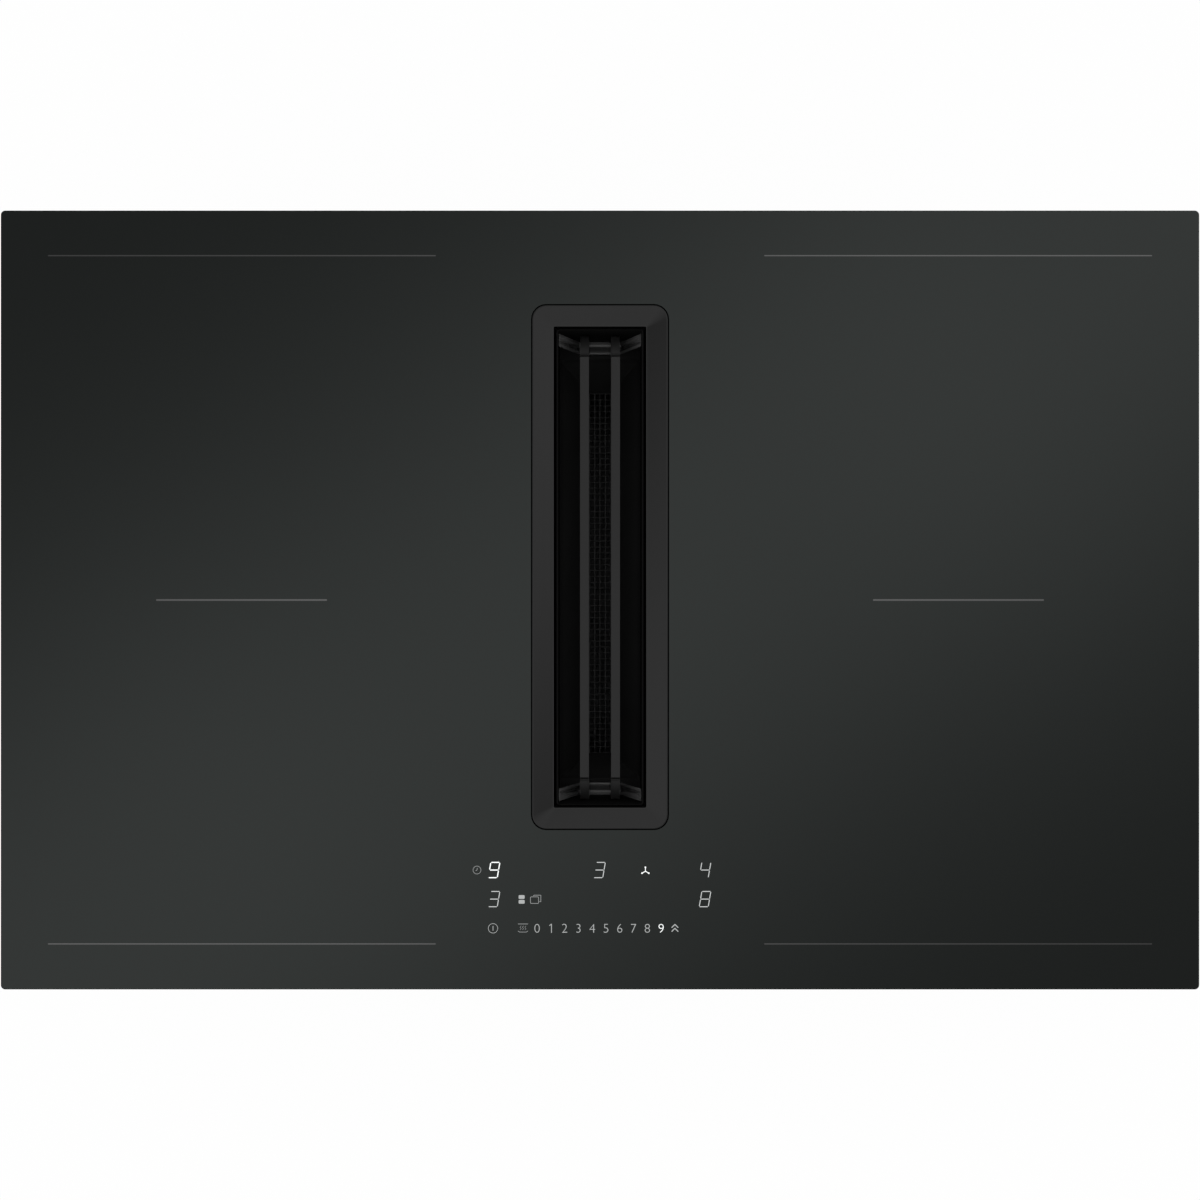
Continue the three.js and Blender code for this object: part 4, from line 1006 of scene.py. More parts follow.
@dataclass
class Studio:
    """A camera straight above, a white floor and sky, and a soft diagonal strip of light in the gloss."""

    glass_top: float
    distance: float = 0.8008
    lens: float = 36.0
    floor_size: float = 12.0
    floor_glow: float = 0.97
    strip_turn: Spot = (0.573, -0.819)
    strip_width: float = 0.308
    strip_power: float = 2.2
    strip_level: float = 0.64
    least_rise: float = 0.2
    sky_level: float = 0.29
    strip_top: float = 0.8
    strip_edge: float = 0.6
    lobe_place: float = 0.342
    lobe_width: float = 0.14
    lobe_level: float = 0.08
    plain_level: float = 1.0

    def build(self) -> None:
        """Sets the camera, the floor and the sky."""
        self._camera()
        self._floor()
        self._sky()
        bpy.context.scene.view_settings.view_transform = "Standard"

    def _camera(self) -> None:
        """Looks straight down at the middle of the glass."""
        data = bpy.data.cameras.new("camera")
        data.lens = self.lens
        data.sensor_width = self.lens
        data.sensor_fit = "HORIZONTAL"
        data.clip_start = 0.01
        camera = bpy.data.objects.new("camera", data)
        camera.location = (0.0, 0.0, self.glass_top + self.distance)
        bpy.context.scene.collection.objects.link(camera)
        bpy.context.scene.camera = camera

    def _floor(self) -> None:
        """Lays a white floor, which keeps a soft shadow."""
        deselect()
        bpy.ops.mesh.primitive_plane_add(size=self.floor_size, location=(0.0, 0.0, 0.0))
        floor = bpy.context.active_object
        floor.name = "floor"
        material = bpy.data.materials.new("floor_white")
        material.use_nodes = True
        shader = Shader(material.node_tree)
        camera, glossy, clear = shader.several("ShaderNodeLightPath", RAYS)
        seen = shader.add("ShaderNodeClamp", {}, {0: camera + glossy + clear})
        cloud = shader.noise(3.0, 2.0)
        plain = shader.add("ShaderNodeBsdfDiffuse", {}, {"Color": shader.mix(cloud, grey(0.79), grey(0.8))})
        glow = shader.add("ShaderNodeEmission", {}, {"Color": grey(1.0), "Strength": 1.0})
        both = shader.add("ShaderNodeMixShader", {}, {0: seen * self.floor_glow, 1: plain, 2: glow})
        shader.show(both, "ShaderNodeOutputMaterial")
        floor.data.materials.append(material)

    def _fading(self, shader: Shader, distance: Value) -> Value:
        """Falls from 1 towards 0 with a distance, as a bell does."""
        return shader.math("EXPONENT", distance * -1.0)

    def _sky(self) -> None:
        """Makes the sky: white for the camera, plain for matt pieces, with the strip for the gloss."""
        world = bpy.data.worlds.new("studio_sky")
        world.use_nodes = True
        bpy.context.scene.world = world
        shader = Shader(world.node_tree)
        way = shader.add("ShaderNodeTexCoord", output="Generated")
        east, north, up = shader.several("ShaderNodeSeparateXYZ", "XYZ", {0: way})
        high = shader.math("MAXIMUM", up, self.least_rise)
        across = abs((east * self.strip_turn[0] + north * self.strip_turn[1]) / high)
        fall = (across / self.strip_width) ** self.strip_power
        along = abs((north * self.strip_turn[0] - east * self.strip_turn[1]) / high)
        away = (along - self.lobe_place) / self.lobe_width
        strip = self._fading(shader, fall)
        lobes = self._fading(shader, away * away) * self.lobe_level + (1.0 - self.lobe_level)
        above = strip * lobes * self.strip_level + self.sky_level
        low = shader.span(up, 1.0, 0.0, self.strip_edge, self.strip_top)
        gloss = above * (1.0 - low) + low
        camera, glossy, clear = shader.several("ShaderNodeLightPath", RAYS)
        direct = shader.add("ShaderNodeClamp", {}, {0: camera + clear})
        other = glossy * gloss + (1.0 - glossy) * self.plain_level
        strength = direct + (1.0 - direct) * other
        light = shader.add("ShaderNodeBackground", {}, {"Color": grey(1.0), "Strength": strength})
        shader.show(light, "ShaderNodeOutputWorld")


# ---------------------------------------------------------------- glass and marks


@dataclass
class GlassPlate:
    """The glass: a plate with ground edges and an opening for the intake."""

    box: Box
    hole_width: float = 0.092
    hole_depth: float = 0.351
    hole_corner: float = 0.010
    corner: float = 0.003
    edge: float = 0.0003
    arris: float = 0.0003
    skin: float = 0.00005

    def build(self, middle_y: float) -> None:
        """Lofts the plate round its opening, and grinds its edges."""
        low, top = self.box.low.z, self.box.high.z - self.skin
        plate = Oblong(self.box.size.x, self.box.size.y, top, self.corner, segments=6)
        hole = Oblong(self.hole_width, self.hole_depth, top, self.hole_corner, y=middle_y, segments=6)
        turns = [math.radians(22.5 * step) for step in range(5)]
        ground = [(-self.edge * (1 - math.cos(a)), top - self.edge * (1 - math.sin(a))) for a in turns]
        arris = [(self.arris * (1 - math.cos(a)), top - self.arris * (1 - math.sin(a))) for a in turns]
        sections = plate.sections([(-self.arris, low), (0.0, low + self.arris), *ground])
        sections += hole.sections([*reversed(arris), (0.0, low)])
        model = Model("glass_plate").loft(sections, closed=True).smooth(50.0)
        model.dress(GLASS, "root", "glass_top")


@dataclass
class ZoneLines:
    """The thin printed lines that bound the cooking zones."""

    top: float
    thickness: float = 0.00003
    width: float = 0.0008
    inner: float = 0.1096
    outer: float = 0.3684
    back: float = 0.2298
    front: float = -0.2295
    middle_inner: float = 0.1822
    middle_outer: float = 0.2962
    middle_width: float = 0.0011

    def build(self) -> None:
        """Draws one line at each place, and joins them into one print."""
        places = [
            (self.inner, self.outer, self.back, self.width),
            (self.inner, self.outer, self.front, self.width),
            (self.middle_inner, self.middle_outer, 0.0, self.middle_width),
        ]
        model = Model("zone_lines")
        for start, end, y, width in places:
            for side in (-1.0, 1.0):
                self._line(model, side * start, side * end, y, width)
        model.dress(ZONE_PRINT, "root")

    def _line(self, model: Model, start: float, end: float, y: float, width: float) -> None:
        """Draws one line with chamfered ends."""
        left, right = min(start, end), max(start, end)
        half, cut = width / 2, width / 4
        corners = [
            (left, y - half + cut),
            (left + cut, y - half),
            (right - cut, y - half),
            (right, y - half + cut),
            (right, y + half - cut),
            (right - cut, y + half),
            (left + cut, y + half),
            (left, y + half - cut),
        ]
        model.trace([(x, along, self.top - self.thickness) for x, along in corners], (0, 0, self.thickness))


class Segment(Enum):
    """The seven bars of a lit figure: start and end in halves of its width and height."""

    TOP = ((-1, 1), (1, 1))
    UPPER_LEFT = ((-1, 1), (-1, 0))
    UPPER_RIGHT = ((1, 1), (1, 0))
    MIDDLE = ((-1, 0), (1, 0))
    LOWER_LEFT = ((-1, 0), (-1, -1))
    LOWER_RIGHT = ((1, 0), (1, -1))
    BOTTOM = ((-1, -1), (1, -1))


THREE = (Segment.TOP, Segment.UPPER_RIGHT, Segment.MIDDLE, Segment.LOWER_RIGHT, Segment.BOTTOM)
FOUR = (Segment.UPPER_LEFT, Segment.UPPER_RIGHT, Segment.MIDDLE, Segment.LOWER_RIGHT)
NINE = (*THREE, Segment.UPPER_LEFT)
EIGHT = (*NINE, Segment.LOWER_LEFT)


@dataclass
class TouchMarks:
    """The lit figures and symbols of the touch controls."""

    top: float
    thickness: float = 0.00003
    slant: float = 0.17
    figure_half: Spot = (0.0030, 0.0051)
    bar: float = 0.00054
    bright_bar: float = 0.0007
    gap: float = 0.0002
    upper_row: float = -0.1802
    middle_row: float = -0.1996
    lower_row: float = -0.2191
    left_column: float = -0.0707
    right_column: float = 0.0701
    digit_height: float = 0.0058
    digit_start: float = -0.0420
    digit_pitch: float = 0.00920
    digit_thinner: float = 0.00017
    digit_stroke: float = 0.0005
    field_corner: float = 0.0007
    thin: float = 0.0004
    fan: Spot = (0.0303, -0.1810)
    pans: Spot = (-0.0523, middle_row)
    boost: Spot = (0.0500, lower_row)
    switch: Spot = (-0.0714, lower_row)
    clock: Spot = (-0.0821, upper_row)
    layers: Spot = (-0.0429, -0.1997)
    warmth: Spot = (-0.0514, -0.2189)
    timer_x: float = -0.0003

    @property
    def levels(self) -> Spot:
        """The heights of the marks' underside and top."""
        return (self.top - self.thickness, self.top)

    def build(self) -> None:
        """Draws all marks, joined by how bright they are."""
        bright = Model("marks_bright")
        self._figure(bright, (self.left_column, self.upper_row), NINE, self.bright_bar)
        self._fan(bright, self.fan)
        grey_marks = Model("marks_grey")
        figures = (
            ((self.left_column, self.middle_row), THREE),
            ((self.timer_x, self.upper_row), THREE),
            ((self.right_column, self.upper_row), FOUR),
            ((self.right_column, self.middle_row), EIGHT),
        )
        for place, lit in figures:
            self._figure(grey_marks, place, lit, self.bar)
        soft = Model("marks_soft")
        self._pans(soft, self.pans)
        self._boost(soft, self.boost)
        self._switch(soft, self.switch)
        dim = Model("marks_dim")
        self._clock(dim, self.clock)
        self._layers(dim, self.layers)
        self._warmth(dim, self.warmth)
        *lower, highest = self._digits()
        bright.join([highest])
        soft.join(lower)
        for model, finish in ((bright, LIT_BRIGHT), (grey_marks, LIT_GREY), (soft, LIT_SOFT), (dim, LIT_DIM)):
            model.dress(finish, "root")

    def _digits(self) -> list[Model]:
        """Makes the row of power levels from 0 to 9."""
        found = []
        for number in range(10):
            place = (self.digit_start + number * self.digit_pitch, self.lower_row)
            name = f"digit_{number}"
            if number == 1:
                found.append(self._one(name, place))
                continue
            model = lettering(name, str(number), self.digit_height, self.thickness, self.digit_thinner)
            found.append(model.put((*place, self.top - self.thickness / 2)))
        return found

    def _one(self, name: str, place: Spot) -> Model:
        """Draws the figure 1 with a flag, which the built-in face leaves out."""
        x, y = place
        half = self.digit_height / 2
        stem = x + 0.0004
        model = Model(name)
        self._bend(model, [(stem - 0.0013, y + half - 0.0010), (stem, y + half - 0.0002)], self.digit_stroke)
        self._bend(model, [(stem, y + half), (stem, y - half)], self.digit_stroke)
        return model

    def _flat(self, model: Model, corners: Iterable[Spot]) -> None:
        """Draws one filled outline at the height of the marks."""
        model.trace([(x, y, self.levels[0]) for x, y in corners], (0, 0, self.thickness))

    def _stroke(self, model: Model, start: Spot, end: Spot, width: float) -> None:
        """Draws a straight stroke with chamfered ends."""
        first, second = Vector(start), Vector(end)
        along = (second - first).normalized()
        side = Vector((-along.y, along.x))
        half, cut = width / 2, width / 4
        corners = []
        for tip, way in ((second, 1.0), (first, -1.0)):
            beyond = tip + along * way * cut
            corners.append(tip - way * side * half)
            corners.append(beyond - way * side * cut)
            corners.append(beyond + way * side * cut)
            corners.append(tip + way * side * half)
        self._flat(model, [tuple(corner) for corner in corners])

    def _bend(self, model: Model, points: Sequence[Spot], width: float) -> None:
        """Draws a stroke through several points."""
        for start, end in zip(points, points[1:]):
            self._stroke(model, start, end, width)

    def _sketch(self, model: Model, place: Spot, width: float, *lines: Sequence[Spot]) -> None:
        """Draws strokes through points given from the symbol's middle, in tenths of a millimetre."""
        for line in lines:
            self._bend(model, [(place[0] + x * TENTH, place[1] + y * TENTH) for x, y in line], width)

    def _figure(self, model: Model, place: Spot, lit: Iterable[Segment], bar: float) -> None:
        """Draws one seven-bar figure, which leans to the right."""
        half_width, half_height = self.figure_half
        for segment in lit:
            (x0, y0), (x1, y1) = segment.value
            start = Vector((x0 * half_width, y0 * half_height))
            end = Vector((x1 * half_width, y1 * half_height))
            along = (end - start).normalized()
            side = Vector((-along.y, along.x))
            start += along * self.gap
            end -= along * self.gap
            shoulder = bar / 2
            corners = [
                start,
                start + along * shoulder - side * shoulder,
                end - along * shoulder - side * shoulder,
                end,
                end - along * shoulder + side * shoulder,
                start + along * shoulder + side * shoulder,
            ]
            leaned = [(place[0] + c.x + self.slant * c.y, place[1] + c.y) for c in corners]
            self._flat(model, leaned)

    def _hoop(self, model: Model, place: Spot, radius: float, width: float) -> None:
        """Draws a circle as a flat hoop."""
        low, high = self.levels
        rings = [(radius, low), (radius, high), (radius - width, high), (radius - width, low)]
        model.loft([Round(r, z, place[0], place[1], 32) for r, z in rings], closed=True)

    def _frame(self, model: Model, place: Spot, size: Spot, width: float) -> None:
        """Draws a rounded rectangle as an outline."""
        low, high = self.levels
        outline = Oblong(*size, low, self.field_corner, *place, segments=3)
        model.loft(outline.sections([(0.0, low), (0.0, high), (-width, high), (-width, low)]), closed=True)

    def _switch(self, model: Model, place: Spot) -> None:
        """Draws the switch's circle, with an upright bar in it."""
        self._hoop(model, place, 0.0033, 0.0003)
        self._sketch(model, place, self.thin, [(0, -15), (0, 15)])

    def _pans(self, model: Model, place: Spot) -> None:
        """Draws two filled rounded fields, one above the other."""
        x, y = place
        for shift in (0.0014, -0.0018):
            model.loft([Oblong(0.0040, 0.0025, z, 0.0006, x, y + shift, 3) for z in self.levels])

    def _clock(self, model: Model, place: Spot) -> None:
        """Draws a small clock."""
        self._hoop(model, place, 0.0028, 0.00035)
        self._sketch(model, place, self.thin, [(0, 0), (2, 13)], [(0, 0), (-8, -5)])

    def _layers(self, model: Model, place: Spot) -> None:
        """Draws one field in front of another."""
        self._frame(model, (place[0] - 0.0008, place[1] - 0.0006), (0.0058, 0.0048), self.thin)
        self._sketch(model, place, self.thin, [(-16, 22), (-12, 27), (34, 27), (34, -16), (25, -16)])

    def _warmth(self, model: Model, place: Spot) -> None:
        """Draws three waves of heat between a bar and a dish."""
        self._sketch(model, place, self.thin, [(-33, 27), (33, 27)])
        self._sketch(model, place, 0.00036, [(-33, -20), (-22, -27), (22, -27), (33, -20)])
        for x in (-16, 0, 16):
            self._sketch(model, place, 0.00024, [(x + 4, 14), (x - 4, 5), (x + 4, -4), (x - 3, -13)])

    def _boost(self, model: Model, place: Spot) -> None:
        """Draws two arrowheads that point up, for the highest power."""
        for rise in (0, 26):
            self._sketch(model, place, 0.00066, [(-21, rise - 21), (0, rise), (21, rise - 21)])

    def _fan(self, model: Model, place: Spot) -> None:
        """Draws a fan with three blades."""
        reach = 0.0026
        for angle in (90.0, 210.0, 330.0):
            way = Vector((math.cos(math.radians(angle)), math.sin(math.radians(angle))))
            tip = (place[0] + way.x * reach, place[1] + way.y * reach)
            self._stroke(model, place, tip, 0.0005)
            model.loft([Round(0.00055, z, *tip, sides=14) for z in self.levels])


# ---------------------------------------------------------------- intake


@dataclass
class IntakeRing:
    """The dished frame round the opening, with mitred corners and a narrow flat border."""

    box: Box
    outer_width: float = 0.0906
    outer_depth: float = 0.3496
    corner: float = 0.0095
    open_width: float = 0.0617
    open_depth: float = 0.3217
    open_corner: float = 0.0008
    border: float = 0.001
    chamfer: float = 0.0003
    dish: float = 0.002
    flange_height: float = 0.005
    lip: float = 0.0006

    def build(self) -> None:
        """Lofts the frame from its flange over the border to the opening."""
        y = self.box.middle.y
        bottom, top = self.box.low.z, self.box.high.z
        shoulder, low = bottom + self.flange_height, top - self.dish
        flange = Oblong(self.box.size.x, self.box.size.y, bottom, self.corner, y=y, segments=6)
        outer = Oblong(self.outer_width, self.outer_depth, top, self.corner, y=y, segments=6)
        opening = Oblong(self.open_width, self.open_depth, low, self.open_corner, y=y, segments=6)
        border = [
            (0.0, shoulder),
            (0.0, top - self.chamfer),
            (-self.chamfer * 0.3, top - self.chamfer * 0.3),
            (-self.chamfer, top),
            (-self.border, top),
        ]
        lip = [
            (self.lip, low + self.lip * 0.2),
            (self.lip * 0.3, low - self.lip * 0.3),
            (0.0, low - self.lip),
            (0.0, bottom),
        ]
        sections = flange.sections([(0.0, bottom), (0.0, shoulder)])
        sections += outer.sections(border) + opening.sections(lip)
        model = Model("dished_ring").loft(sections, closed=True).smooth(25.0)
        model.dress(RING_COAT, "root", "intake_ring")


@dataclass
class Cassette:
    """The lift-out cassette: upright walls with a rolled lip, end ledges and a funnel to the net."""

    box: Box
    wall: float = 0.0011
    waist: float = 0.158
    ledge: float = 0.0114
    throat: Spot = (0.0177, 0.271)
    throat_shift: float = -0.002
    end_lip: float = 0.0004
    throat_top: float = 0.100
    throat_bottom: float = 0.099
    relief: float = 0.0015
    corners: Point = (0.002, 0.0012, 0.0008)

    def build(self) -> None:
        """Lofts one closed skin, outside up and inside down."""
        y = self.box.middle.y
        width, depth = self.box.size.x, self.box.size.y
        bottom, top = self.box.low.z, self.box.high.z
        inner_width, inner_depth = width - 2 * self.wall, depth - 2 * self.wall
        mouth = inner_depth - 2 * self.ledge
        throat_width, throat_depth = self.throat

        def at(size: Spot, z: float, corner: float, shift: float = 0.0) -> Oblong:
            return Oblong(*size, z, corner, y=y + shift, segments=3)

        outer, inner, fine = self.corners
        lip = self.wall * 0.35
        lip_depth = depth - 2 * self.end_lip
        shift = self.throat_shift
        outer_throat = (throat_width + 2 * self.wall, throat_depth + 2 * self.wall)
        sections = [
            at(outer_throat, bottom, inner, shift),
            at(outer_throat, self.throat_bottom, inner, shift),
            at((width, depth), self.waist - self.wall, outer),
            at((width, depth), top - lip, outer),
            at((width - lip, depth - lip), top, outer),
            at((inner_width + lip, lip_depth), top, inner),
            at((inner_width, lip_depth - lip), top - lip, inner),
            at((inner_width, inner_depth), self.waist, inner),
            at((inner_width, mouth), self.waist, inner),
            at((throat_width, throat_depth), self.throat_top, fine, shift),
            at((throat_width - self.relief, throat_depth - self.relief), bottom, fine, shift),
        ]
        model = Model("cassette_body").loft(sections, closed=True).smooth(30.0)
        model.dress(CASSETTE_COAT, "cassette", "cassette_shell")


@dataclass
class WovenNet:
    """The filter's net, woven of long and cross wires."""

    box: Box
    columns: int = 4
    rows: int = 61
    long_wire: float = 0.0006
    cross_wire: float = 0.00042
    swing: float = 0.0003
    longer: float = 0.004
    shift: float = -0.002
    edge: float = 0.00045
    below: float = 0.0003
    steps: int = 4
    row_sway: float = 0.00012
    column_sway: float = 0.0001

    def build(self) -> None:
        """Weaves one cross wire and one long wire, and copies each to its places."""
        size, middle = self.box.size, self.box.middle
        pitch_x = (size.x - 2 * self.edge) / self.columns
        length = size.y + self.longer - 2 * self.edge
        pitch_y = length / self.rows
        z = self.box.high.z - self.below
        left = middle.x - size.x / 2 + self.edge
        front = middle.y + self.shift - length / 2
        across = self._wave(self.columns, left, pitch_x, self.swing)
        along = self._wave(self.rows, front, pitch_y, -self.swing)
        path = [(place, 0.0, z + rise) for place, rise in across]
        cross = Model("cross").sweep(path, self.cross_wire, (0.0, 90.0, 0.0))
        path = [(0.0, place, z + rise) for place, rise in along]
        long_wire = Model("long").sweep(path, self.long_wire, (90.0, 0.0, 0.0))
        pieces = []
        for row in range(self.rows + 1):
            sway = self.row_sway * math.sin(2.3 * row)
            pieces.append(self._twin(cross, row, (0.0, front + row * pitch_y + sway, z)))
        for column in range(self.columns + 1):
            sway = self.column_sway * math.sin(1.9 * column + 0.5)
            pieces.append(self._twin(long_wire, column, (left + column * pitch_x + sway, 0.0, z)))
        for wire in (cross, long_wire):
            bpy.data.objects.remove(wire.obj)
        net = pieces.pop(0).join(pieces)
        net.obj.name = net.name = "woven_net"
        net.smooth(60.0).dress(WIRE_COAT, "cassette", "filter_mesh")

    def _wave(self, count: int, start: float, pitch: float, swing: float) -> list[Spot]:
        """Gives the places and rises of a wire that swings over and under the ones that it crosses."""
        shares = [number / self.steps for number in range(count * self.steps + 1)]
        return [(start + share * pitch, swing * math.cos(math.pi * share)) for share in shares]

    def _twin(self, wire: Model, number: int, place: Point) -> Model:
        """Copies a wire to its place, with every other copy upside down."""
        x, y, z = place
        flip = 1.0 if number % 2 else -1.0
        return wire.copy(f"{wire.name}_{number}").put((x, y, z * (1.0 - flip)), scale=(1.0, 1.0, flip))


@dataclass
class Grille:
    """The lift-out grille: two bars with sloped ends on two dished straps."""

    bar_box: Box
    saddle_box: Box
    middle_y: float
    slope: float = 0.0166
    leg: float = 0.0084
    height: float = 0.008
    strap: float = 0.002
    flat_half: float = 0.0142
    crease: float = 0.0007
    crease_depth: float = 0.0015
    rim: float = 0.0019
    channel: float = 0.0021
    sink: float = 0.0011
    lean: float = 0.001

    def build(self) -> None:
        """Models one bar and one saddle, and copies each to the other side."""
        bar = self._bar()
        other = bar.copy("bar_right")
        other.put(scale=(-1.0, 1.0, 1.0)).smooth(30.0)
        bar.smooth(30.0)
        bar.dress(GRILLE_COAT, "grille", "grille_bar_left")
        other.dress(GRILLE_COAT, "grille", "grille_bar_right")
        saddle = self._saddle()
        rear = saddle.copy("saddle_rear")
        rear.put((0.0, 2 * self.middle_y, 0.0), scale=(1.0, -1.0, 1.0)).smooth(30.0)
        saddle.smooth(30.0)
        saddle.dress(SADDLE_COAT, "grille", "grille_saddle_front")
        rear.dress(SADDLE_COAT, "grille", "grille_saddle_rear")

    def _bar(self) -> Model:
        """Traces the left bar from the side, and extrudes it to its width."""
        low, high = self.bar_box.low, self.bar_box.high
        half_end = self.bar_box.size.y / 2
        half_flat = half_end - self.slope
        leg_inner = half_end - self.leg
        inside = half_flat - self.height * math.tan(math.pi / 8)
        slope_z = high.z - self.height - (leg_inner - inside)
        half = [
            (half_flat - self.crease, high.z),
            (half_flat, high.z - self.crease_depth),
            (half_flat + self.crease, high.z - self.crease),
            (half_end, high.z - self.slope),
            (half_end, low.z),
            (leg_inner, low.z),
            (leg_inner, slope_z),
            (inside, high.z - self.height),
        ]
        outline = half + [(-along, z) for along, z in reversed(half)]
        points = [(low.x, self.middle_y + along, z) for along, z in outline]
        model = Model("bar_left").trace(points, (self.bar_box.size.x, 0.0, 0.0))
        return model.round_edges(0.0002, 2)

    def _saddle(self) -> Model:
        """Traces the front saddle's strap, extrudes it and sinks a channel between its rims."""
        low, high = self.saddle_box.low, self.saddle_box.high
        flat_z, end_z = low.z + self.strap, high.z
        half = self.saddle_box.size.x / 2
        outline = [
            (-half, end_z),
            (-half, end_z - self.strap),
            (-self.flat_half, low.z),
            (self.flat_half, low.z),
            (half, end_z - self.strap),
            (half, end_z),
            (self.flat_half, flat_z),
            (-self.flat_half, flat_z),
        ]
        points = [(x, low.y, z) for x, z in outline]
        model = Model("saddle_front").trace(points, (0.0, self.saddle_box.size.y, 0.0))
        model.pick(Part.FACES, lambda spot, way: way.z > 0.3 and abs(spot.x) < half - MERGE)
        model.inset(self.rim)
        model.inset(self.channel, -self.sink)
        bpy.ops.transform.translate(value=(0.0, -self.lean, 0.0))
        return model.round_edges(0.0001, 2)


@dataclass
class DripTray:
    """The tray that catches drips, with rounded corners and a rolled rim."""

    box: Box
    wall: float = 0.0015
    corner: float = 0.004
    least_corner: float = 0.001
    foot: float = 0.002
    rim: float = 0.0004

    def build(self) -> None:
        """Lofts the tray, outside up and inside down, and closes its floor."""
        size, y = self.box.size, self.box.middle.y
        low, high = self.box.low.z, self.box.high.z
        outline = Oblong(size.x, size.y, low, self.corner, y=y, segments=5, least=self.least_corner)
        rounded = self.rim * 0.75
        profile = [
            (-self.foot, low),
            (-self.foot * 0.25, low + self.foot * 0.35),
            (0.0, low + self.foot),
            (0.0, high - self.rim),
            (-rounded, high),
            (rounded - self.wall, high),
            (-self.wall, high - self.rim),
            (-self.wall, low + self.wall * 2),
            (-self.wall - self.foot, low + self.wall),
        ]
        model = Model("tray_body").loft(outline.sections(profile)).smooth(35.0)
        model.dress(BLACK_PLASTIC, "drip_tray", "drip_tray")


# ---------------------------------------------------------------- the rest of the housing


def on_wall(out: Vector, reach: float) -> Test:
    """Gives a test for the faces that look one way and lie that far out."""
    near = MERGE * 100
    return lambda spot, way: way.dot(out) > 0.999 and abs(spot.dot(out) - reach) < near


@dataclass
class BlowerCase:
    """The lower housing: sunk and ribbed side panels, and a seam band where its halves meet."""

    box: Box
    flange: float = 0.012
    corner: float = 0.010
    margin: float = 0.012
    slope: float = 0.0015
    sink: float = 0.0013
    rib: float = 0.003
    rib_pitch: float = 0.048
    rib_low: float = 0.016
    rib_high: float = 0.127
    seam: float = 0.070
    seam_height: float = 0.007
    seam_out: float = 0.0016
    seam_end: float = 0.0915
    seam_back: float = 0.214
    groove: float = 0.0008
    groove_half: float = 0.0005

    @property
    def walls(self) -> Box:
        """The box of the walls, which stand in from the flange."""
        step = Vector((self.flange, self.flange, 0.0))
        return Box(self.box.low + step, self.box.high - step)

    def build(self) -> None:
        """Sinks the panels of a copy of the housing, and adds the ribs and the band."""
        model = node_copy("lower_housing", "blower_case")
        walls = self.walls
        panels = (((0, -1, 0), -walls.low.y), ((1, 0, 0), walls.high.x), ((-1, 0, 0), -walls.low.x))
        for out, reach in panels:
            model.pick(Part.FACES, on_wall(Vector(out), reach))
            model.inset(self.margin)
            model.inset(self.slope, -self.sink)
        model.round_edges(0.0007, 2, 25.0)
        ribs = Model("case_ribs")
        self._ribs(ribs)
        ribs.round_edges(0.0005, 2)
        band = Model("case_band")
        self._band(band)
        model.join([ribs, band]).smooth(40.0)
        model.dress(BLACK_PLASTIC, "root", "lower_housing")

    def _ribs(self, model: Model) -> None:
        """Stands ribs in the front panel and in both side panels."""
        z, top, half = self.rib_low, self.rib_high, self.rib / 2
        deep = self.sink * 1.3
        low, high = self.walls.low, self.walls.high
        for x in self._spread(low.x, high.x):
            model.block((x - half, low.y, z), (x + half, low.y + deep, top))
        for y in self._spread(low.y, high.y):
            model.block((low.x, y - half, z), (low.x + deep, y + half, top))
            model.block((high.x - deep, y - half, z), (high.x, y + half, top))

    def _spread(self, start: float, end: float) -> list[float]:
        """Gives the places of the ribs along a panel, about its middle."""
        count = int((end - start - 2 * self.margin) / self.rib_pitch)
        return [(start + end) / 2 + (number - (count - 1) / 2) * self.rib_pitch for number in range(count)]

    def _band(self, model: Model) -> None:
        """Lofts the seam band round the housing, and cuts it off on both sides of the outlet."""
        size, middle = self.walls.size, self.walls.middle
        low, high = self.seam, self.seam + self.seam_height
        groove_z = (low + high) / 2
        out, inside = self.seam_out, -self.sink * 1.5
        profile = [
            (inside, low),
            (out, low),
            (out, groove_z - self.groove_half),
            (out - self.groove, groove_z),
            (out, groove_z + self.groove_half),
            (out, high),
            (inside, high),
        ]
        outline = Oblong(size.x, size.y, low, self.corner, middle.x, middle.y, 6)
        model.loft(outline.sections(profile), closed=True)
        cuts = (((self.seam_end, 0.0, 0.0), (1.0, 0.0, 0.0)), ((0.0, self.seam_back, 0.0), (0.0, 1.0, 0.0)))
        for place, way in cuts:
            bpy.ops.mesh.select_all(action="SELECT")
            bpy.ops.mesh.bisect(plane_co=place, plane_no=way)
        end, back = self.seam_end + MERGE, self.seam_back + MERGE
        model.pick(Part.FACES, lambda spot, way: spot.x > end and spot.y > back)
        bpy.ops.mesh.delete(type="FACE")
        bpy.ops.mesh.select_all(action="SELECT")
        bpy.ops.mesh.fill_holes(sides=0)


